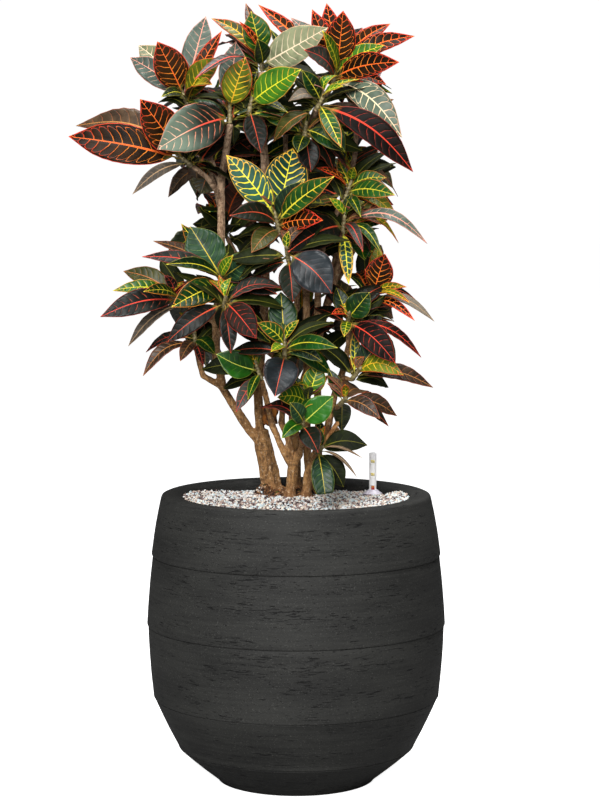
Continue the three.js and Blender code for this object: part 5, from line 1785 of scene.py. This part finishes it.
@dataclass(frozen=True)
class Growth:
    """A leaf before its place on the stem is known. Its tip is on the layout plane, in millimetres."""

    tip: Triple
    width: float
    face: float
    bend: float
    key: int
    kind: Kind
    blunt: float = 0.0


@dataclass(frozen=True)
class Filling:
    """The ranges that a shoot's small leaves are drawn from."""

    kinds: tuple[tuple[Kind, int], ...]  # with their weights
    tilt: Pair
    reach: Pair
    slimness: Pair  # the width as a share of the reach
    share: Pair  # where on the stem they grow


INSIDE = Filling(
    ((K.SHADE, 12), (K.FOREST, 3), (K.BLACK, 3), (K.UMBER, 1), (K.MOSS, 1), (K.FERN, 1)),
    (-0.75, 0.75), (48, 92), (0.24, 0.36), (-0.2, 0.45),
)


def young(main: Kind) -> Filling:
    """Returns the ranges of the young leaves at the end of a shoot of the given kind."""
    kinds = ((main, 4), (K.OLIVE, 2), (K.LIME, 1), (K.UMBER, 1), (K.FOREST, 2))
    return Filling(kinds, (0.75, 1.35), (26, 46), (0.24, 0.34), (0.75, 1.0))


@dataclass
class Shoot:
    """One leafy shoot with its green stem."""

    plan: ShootPlan
    number: int
    paint: LeafPaint
    blades: list[Blade] = field(default_factory=list)

    ROOT_SPAN = (0.1, 0.62)  # where on the stem the lowest and the highest leaf grow
    DEPTH_SPREAD = 1.6  # the listed depths are stretched by this
    KEYS = 40  # the leaf keys that one shoot has
    FIRST_ADDED = 20  # the first of them for an added leaf
    ADDED_TILT = (1.15, -0.75)  # of the first and the last added leaf, in radians
    ADDED_REACH = (82, 126)
    ADDED_WIDTH = (24, 44)
    ADDED_BEND = 10
    GOLDEN_ANGLE = 2.39996
    BACK_DEPTH = 60  # a shoot that is deeper stands behind the plant
    FORWARD = -0.35  # its leaves don't point further to the front than this
    FRONT_FACE = 0.35
    BACK_FACE = -0.25
    MAIN_SHARE = 0.3  # of the added leaves, which have the shoot's main kind
    COMMON = (K.BLACK, K.FOREST, K.FOREST, K.FERN, K.SLATE, K.OLIVE)  # the kinds of the others
    SAME_PLACE = 0.15  # how far a packed tip may be from where its leaf is looked for
    DARK_LEAVES = 13
    SPARSE = {  # the shoots with fewer dark leaves
        "low_centre": 0, "lowest_right": 0, "low_upright": 0, "right_lower": 1, "low_left": 3, "right_low": 5,
    }
    YOUNG_LEAVES = 4
    HEIGHTS = (408.0, 1022.0)  # that the small leaves keep to
    FILL_KEY = 4000
    FILL_SEED = 700
    STEM_RADIUS = 3.4
    STEM_GRID = (10, 30)  # faces round the stem and along it
    RINGS = 7
    RING = 0.12  # how high they are, as a share of the radius
    BUD = 8  # how far the stem's end stands over the last leaf

    def __post_init__(self) -> None:
        """Works out where the stem stands."""
        lean_x, lean_z, lean_depth = self.plan.lean
        self.axis = Vector((lean_x, lean_depth, lean_z)).normalized()
        self.base = place(self.plan.at) - self.axis * self.plan.length * MM / 2

    def swings(self) -> list[Triple]:
        """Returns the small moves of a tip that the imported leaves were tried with, in order."""
        moves: list[Triple] = [(0, 0, d) for d in (0, -12, 12, -24, 24, -36, 36, -50, 50)]
        for d in (-14, 14, -34, 34):
            moves += [(0, 9, d), (0, -9, d), (9, 0, d), (-9, 0, d)]
        for d in (-18, 18, -44, 44):
            moves += [(12, 14, d), (-12, 14, d), (12, -14, d), (-12, -14, d)]
        return moves

    def listed(self) -> list[Growth]:
        """Returns the listed leaves."""
        x, z, depth = self.plan.at
        return [
            Growth(
                (x + leaf.dx, z + leaf.dz, depth + self.DEPTH_SPREAD * leaf.depth), leaf.width, leaf.face,
                leaf.bend, self.number * self.KEYS + i, leaf.kind, leaf.blunt,
            )
            for i, leaf in enumerate(self.plan.leaves)
        ]

    def added(self) -> list[Growth]:
        """Returns the leaves that the rule adds behind the listed ones or all round a back shoot."""
        x, z, depth = self.plan.at
        behind = depth > self.BACK_DEPTH
        leaves = []
        for i in range(self.plan.extra):
            key = self.number * self.KEYS + self.FIRST_ADDED + i
            turn = i * self.GOLDEN_ANGLE + self.number
            tilt = between(*self.ADDED_TILT, (i + 0.5) / self.plan.extra)
            reach = between(*self.ADDED_REACH, chance(key, 1))
            away = math.sin(turn) * math.cos(tilt)
            if not behind or away < self.FORWARD:
                away = abs(away)
            tip = within_reach((
                x + reach * math.cos(turn) * math.cos(tilt), z + reach * math.sin(tilt), depth + reach * away,
            ))
            width = between(*self.ADDED_WIDTH, chance(key, 2))
            face = self.BACK_FACE if behind else self.FRONT_FACE
            leaves.append(Growth(tip, width, face, self.ADDED_BEND, key, self.drawn_kind(key)))
        return leaves

    def drawn_kind(self, key: int) -> Kind:
        """Returns the kind of a leaf that isn't listed: its shoot's main one or a common one."""
        if chance(key, 3) < self.MAIN_SHARE:
            return self.plan.main
        return self.COMMON[int(chance(key, 4) * len(self.COMMON))]

    def grow(self, node: Thing) -> None:
        """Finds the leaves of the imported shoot.

        Args:
            node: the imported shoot, whose corners tell which swing each leaf's tip took.
        """
        corners = node.data.vertices
        tips = KDTree(len(corners))
        for index, corner in enumerate(corners):
            tips.insert(corner.co, index)
        tips.balance()
        leaves = self.listed() + self.added()
        rising = [(place(leaf.tip) - self.base).normalized().dot(self.axis) for leaf in leaves]
        order = sorted(rising)
        for leaf, rise in zip(leaves, rising):
            share = order.index(rise) / (len(leaves) - 1) if len(leaves) > 1 else 0.5
            root = self.base + self.axis * self.plan.length * MM * between(*self.ROOT_SPAN, share)
            for swing in self.swings():
                tip = place([a + b for a, b in zip(leaf.tip, swing)])
                if tips.find(tip)[2] < self.SAME_PLACE * MM:
                    self.blades.append(Blade(
                        root, tip, leaf.width, leaf.face, leaf.bend, leaf.key, leaf.kind, blunt=leaf.blunt,
                    ))
                    break

    def fill(self) -> None:
        """Adds the small leaves: dark ones that fill the plant's inside and young ones at the shoot's end."""
        draw = random.Random(self.FILL_SEED + self.number)
        x, z, depth = self.plan.at
        low, high = self.HEIGHTS
        many = self.SPARSE.get(self.plan.name, self.DARK_LEAVES)
        for i in range(many + self.YOUNG_LEAVES):
            ranges = INSIDE if i < many else young(self.plan.main)
            turn = draw.uniform(0, math.tau)
            tilt, reach = draw.uniform(*ranges.tilt), draw.uniform(*ranges.reach)
            side, away = math.cos(turn) * math.cos(tilt), math.sin(turn) * math.cos(tilt)
            if ranges is INSIDE and depth < self.BACK_DEPTH:
                away = abs(away)
            rise = min(high, max(low, z + reach * math.sin(tilt)))
            tip = within_reach((x + reach * side, rise, depth + reach * away))
            self.blades.append(Blade(
                self.base + self.axis * self.plan.length * MM * draw.uniform(*ranges.share), place(tip),
                reach * draw.uniform(*ranges.slimness), draw.uniform(0.2, 0.8), draw.uniform(0, 8),
                self.FILL_KEY + self.number * self.KEYS + i, draw.choices(*zip(*ranges.kinds))[0], small=True,
            ))

    def stem(self) -> Mesh:
        """Returns the green stem with its end bud."""
        length = self.plan.length * MM
        reach = length + self.BUD * MM

        def middle(t: float) -> Vector:
            """Returns the stem's middle at a share of its length."""
            return self.base + self.axis * reach * t

        def radius(t: float) -> float:
            """Returns the stem's radius with a ring at every leaf scar."""
            if t in (0.0, 1.0):
                return 0.0
            ring = self.RING * math.cos(t * math.tau * self.RINGS)
            return self.STEM_RADIUS * MM * (between(1.0, 0.66, t) + ring) * (1 - eased(t, 0.86, 1.02) * 0.85)

        return to_mesh("stem", tube(*self.STEM_GRID, middle, radius))

    def build(self, stem_material: Paint) -> None:
        """Adds the shoot's piece.

        Args:
            stem_material: the material of its green stem.
        """
        kinds = sorted({blade.kind for blade in self.blades}, key=lambda kind: kind.value)
        maker = LeafMaker(kinds)
        for blade in self.blades:
            maker.add(blade)
        name = self.plan.name + "_leaves"
        whole = bmesh.new()
        absorb(whole, maker.finish(name))
        before = len(whole.faces)
        absorb(whole, self.stem())
        whole.faces.ensure_lookup_table()
        for face in whole.faces[before:]:
            face.material_index = 2 * len(kinds)
        materials = [m for kind in kinds for m in self.paint.both(kind)] + [stem_material]
        piece = add_piece(name, to_mesh(name, whole), materials, "leaf_" + self.plan.main.value)
        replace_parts(piece, self.plan.name)


class Foliage:
    """All the leafy shoots."""

    def stem_finish(self) -> Paint:
        """Returns the material of the shoots' green stems."""
        return Mottle(
            "green_stem", (92, 80, 50), (150, 138, 96), (200, 200, 200), edges=(0.35, 0.65), roughness=0.5,
            bump=(0.4, 0.001),
        ).build()

    def build(self, nodes: dict[str, Thing]) -> None:
        """Adds every shoot.

        Args:
            nodes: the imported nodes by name.
        """
        paint = LeafPaint()
        stem = self.stem_finish()
        for number, shoot_plan in enumerate(SHOOTS):
            shoot = Shoot(shoot_plan, number, paint)
            shoot.grow(nodes[shoot_plan.name])
            shoot.fill()
            shoot.build(stem)


# ---------------------------------------------------------------- studio


@dataclass(frozen=True)
class Softbox:
    """A square soft light: where it hangs, the point that it faces, its side and its power in watts."""

    name: str
    at: Triple
    aim: Triple
    size: float
    power: float

    def build(self) -> None:
        """Adds the light."""
        light = bpy.data.lights.new(self.name, "AREA")
        light.size, light.energy = self.size, self.power
        holder = put(self.name, light)
        holder.location = self.at
        holder.rotation_euler = (Vector(self.aim) - Vector(self.at)).to_track_quat("-Z", "Y").to_euler()


SOFTBOXES = (
    Softbox("key", (-0.8, -3.0, 2.5), (0, 0, 0.6), 1.1, 128),
    Softbox("front", (-0.1, -3.7, 1.5), (0, 0, 0.5), 1.2, 66),
    Softbox("fill", (1.3, -2.4, 2.7), (0, 0, 0.6), 1.2, 5),
    Softbox("top", (0.2, 0.2, 3.1), (0, 0, 0.8), 1.4, 94),
)


@dataclass(frozen=True)
class Studio:
    """A pale floor, soft light and a camera in front."""

    floor_size: float = 60.0
    focal_length: float = 104.4
    sensor_width: float = 36.0
    farthest: float = 200.0
    camera_at: Triple = (0.0053, -3.073, 0.795)
    camera_pitch: float = -5.29
    ambient: float = 0.09  # how strongly the surroundings light
    backdrop: float = 1.02  # how bright they and the far floor look
    pale: float = 0.8  # the floor's own shade
    bounce: float = 0.3  # how much light the floor throws back

    def floor(self) -> None:
        """Adds the floor."""
        form = bmesh.new()
        bmesh.ops.create_grid(form, x_segments=1, y_segments=1, size=self.floor_size / 2)
        mesh = to_mesh("floor", form)
        m = Material("floor_paint", 1.0)
        seen = m.node("LightPath").outputs["Is Camera Ray"]
        m.paint(Base_Color=m.mix(seen, (self.bounce,) * 3 + (1,), (self.pale,) * 3 + (1,)))
        m.paint(Emission_Strength=m.times(seen, self.backdrop - self.pale * self.ambient))
        m.paint(Emission_Color=(1, 1, 1, 1))
        m.shader.inputs["Specular IOR Level"].default_value = 0.0
        mesh.materials.append(m.material)
        floor = put("floor", mesh)

    def world(self) -> None:
        """Sets a white surrounding that lights softly."""
        world = bpy.data.worlds.new("studio")
        world.use_nodes = True
        s = Shading(world.node_tree)
        back = world.node_tree.nodes["Background"]
        seen = s.node("LightPath").outputs["Is Camera Ray"]
        s.feed(back.inputs["Strength"], s.ramp(seen, 0.0, 1.0, self.ambient, self.backdrop))
        back.inputs["Color"].default_value = (1, 1, 1, 1)
        bpy.context.scene.world = world

    def camera(self) -> None:
        """Adds the camera."""
        data = bpy.data.cameras.new("camera")
        data.lens = self.focal_length
        data.sensor_width = self.sensor_width
        data.clip_end = self.farthest
        camera = put("camera", data)
        camera.location = self.camera_at
        camera.rotation_euler = (math.radians(90 + self.camera_pitch), 0, 0)
        bpy.context.scene.camera = camera

    def build(self) -> None:
        """Sets up the whole studio."""
        self.camera()
        self.floor()
        self.world()
        for softbox in SOFTBOXES:
            softbox.build()
        bpy.context.scene.view_settings.view_transform = "Standard"


def inner_plastic() -> Paint:
    """Returns the plain dark finish of the floor inside the planter."""
    m = Material("inner_plastic", 0.6)
    m.paint(Base_Color=m.mix(m.noise((90, 90, 90), 2), (30, 32, 34), (44, 46, 48)))
    return m.material


def main() -> None:
    """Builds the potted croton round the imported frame."""
    logging.basicConfig(level=logging.INFO, format="%(name)s %(message)s")
    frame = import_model()
    nodes = frame["nodes"]
    Studio().build()
    Planter().build()
    dress(nodes["reservoir_floor"], inner_plastic())
    GroundCover().build(nodes)
    Gauge().build()
    Stems().build(nodes)
    DryBits().build()
    Foliage().build(nodes)
    bpy.context.view_layer.update()
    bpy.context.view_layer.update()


if __name__ == "__main__":
    main()
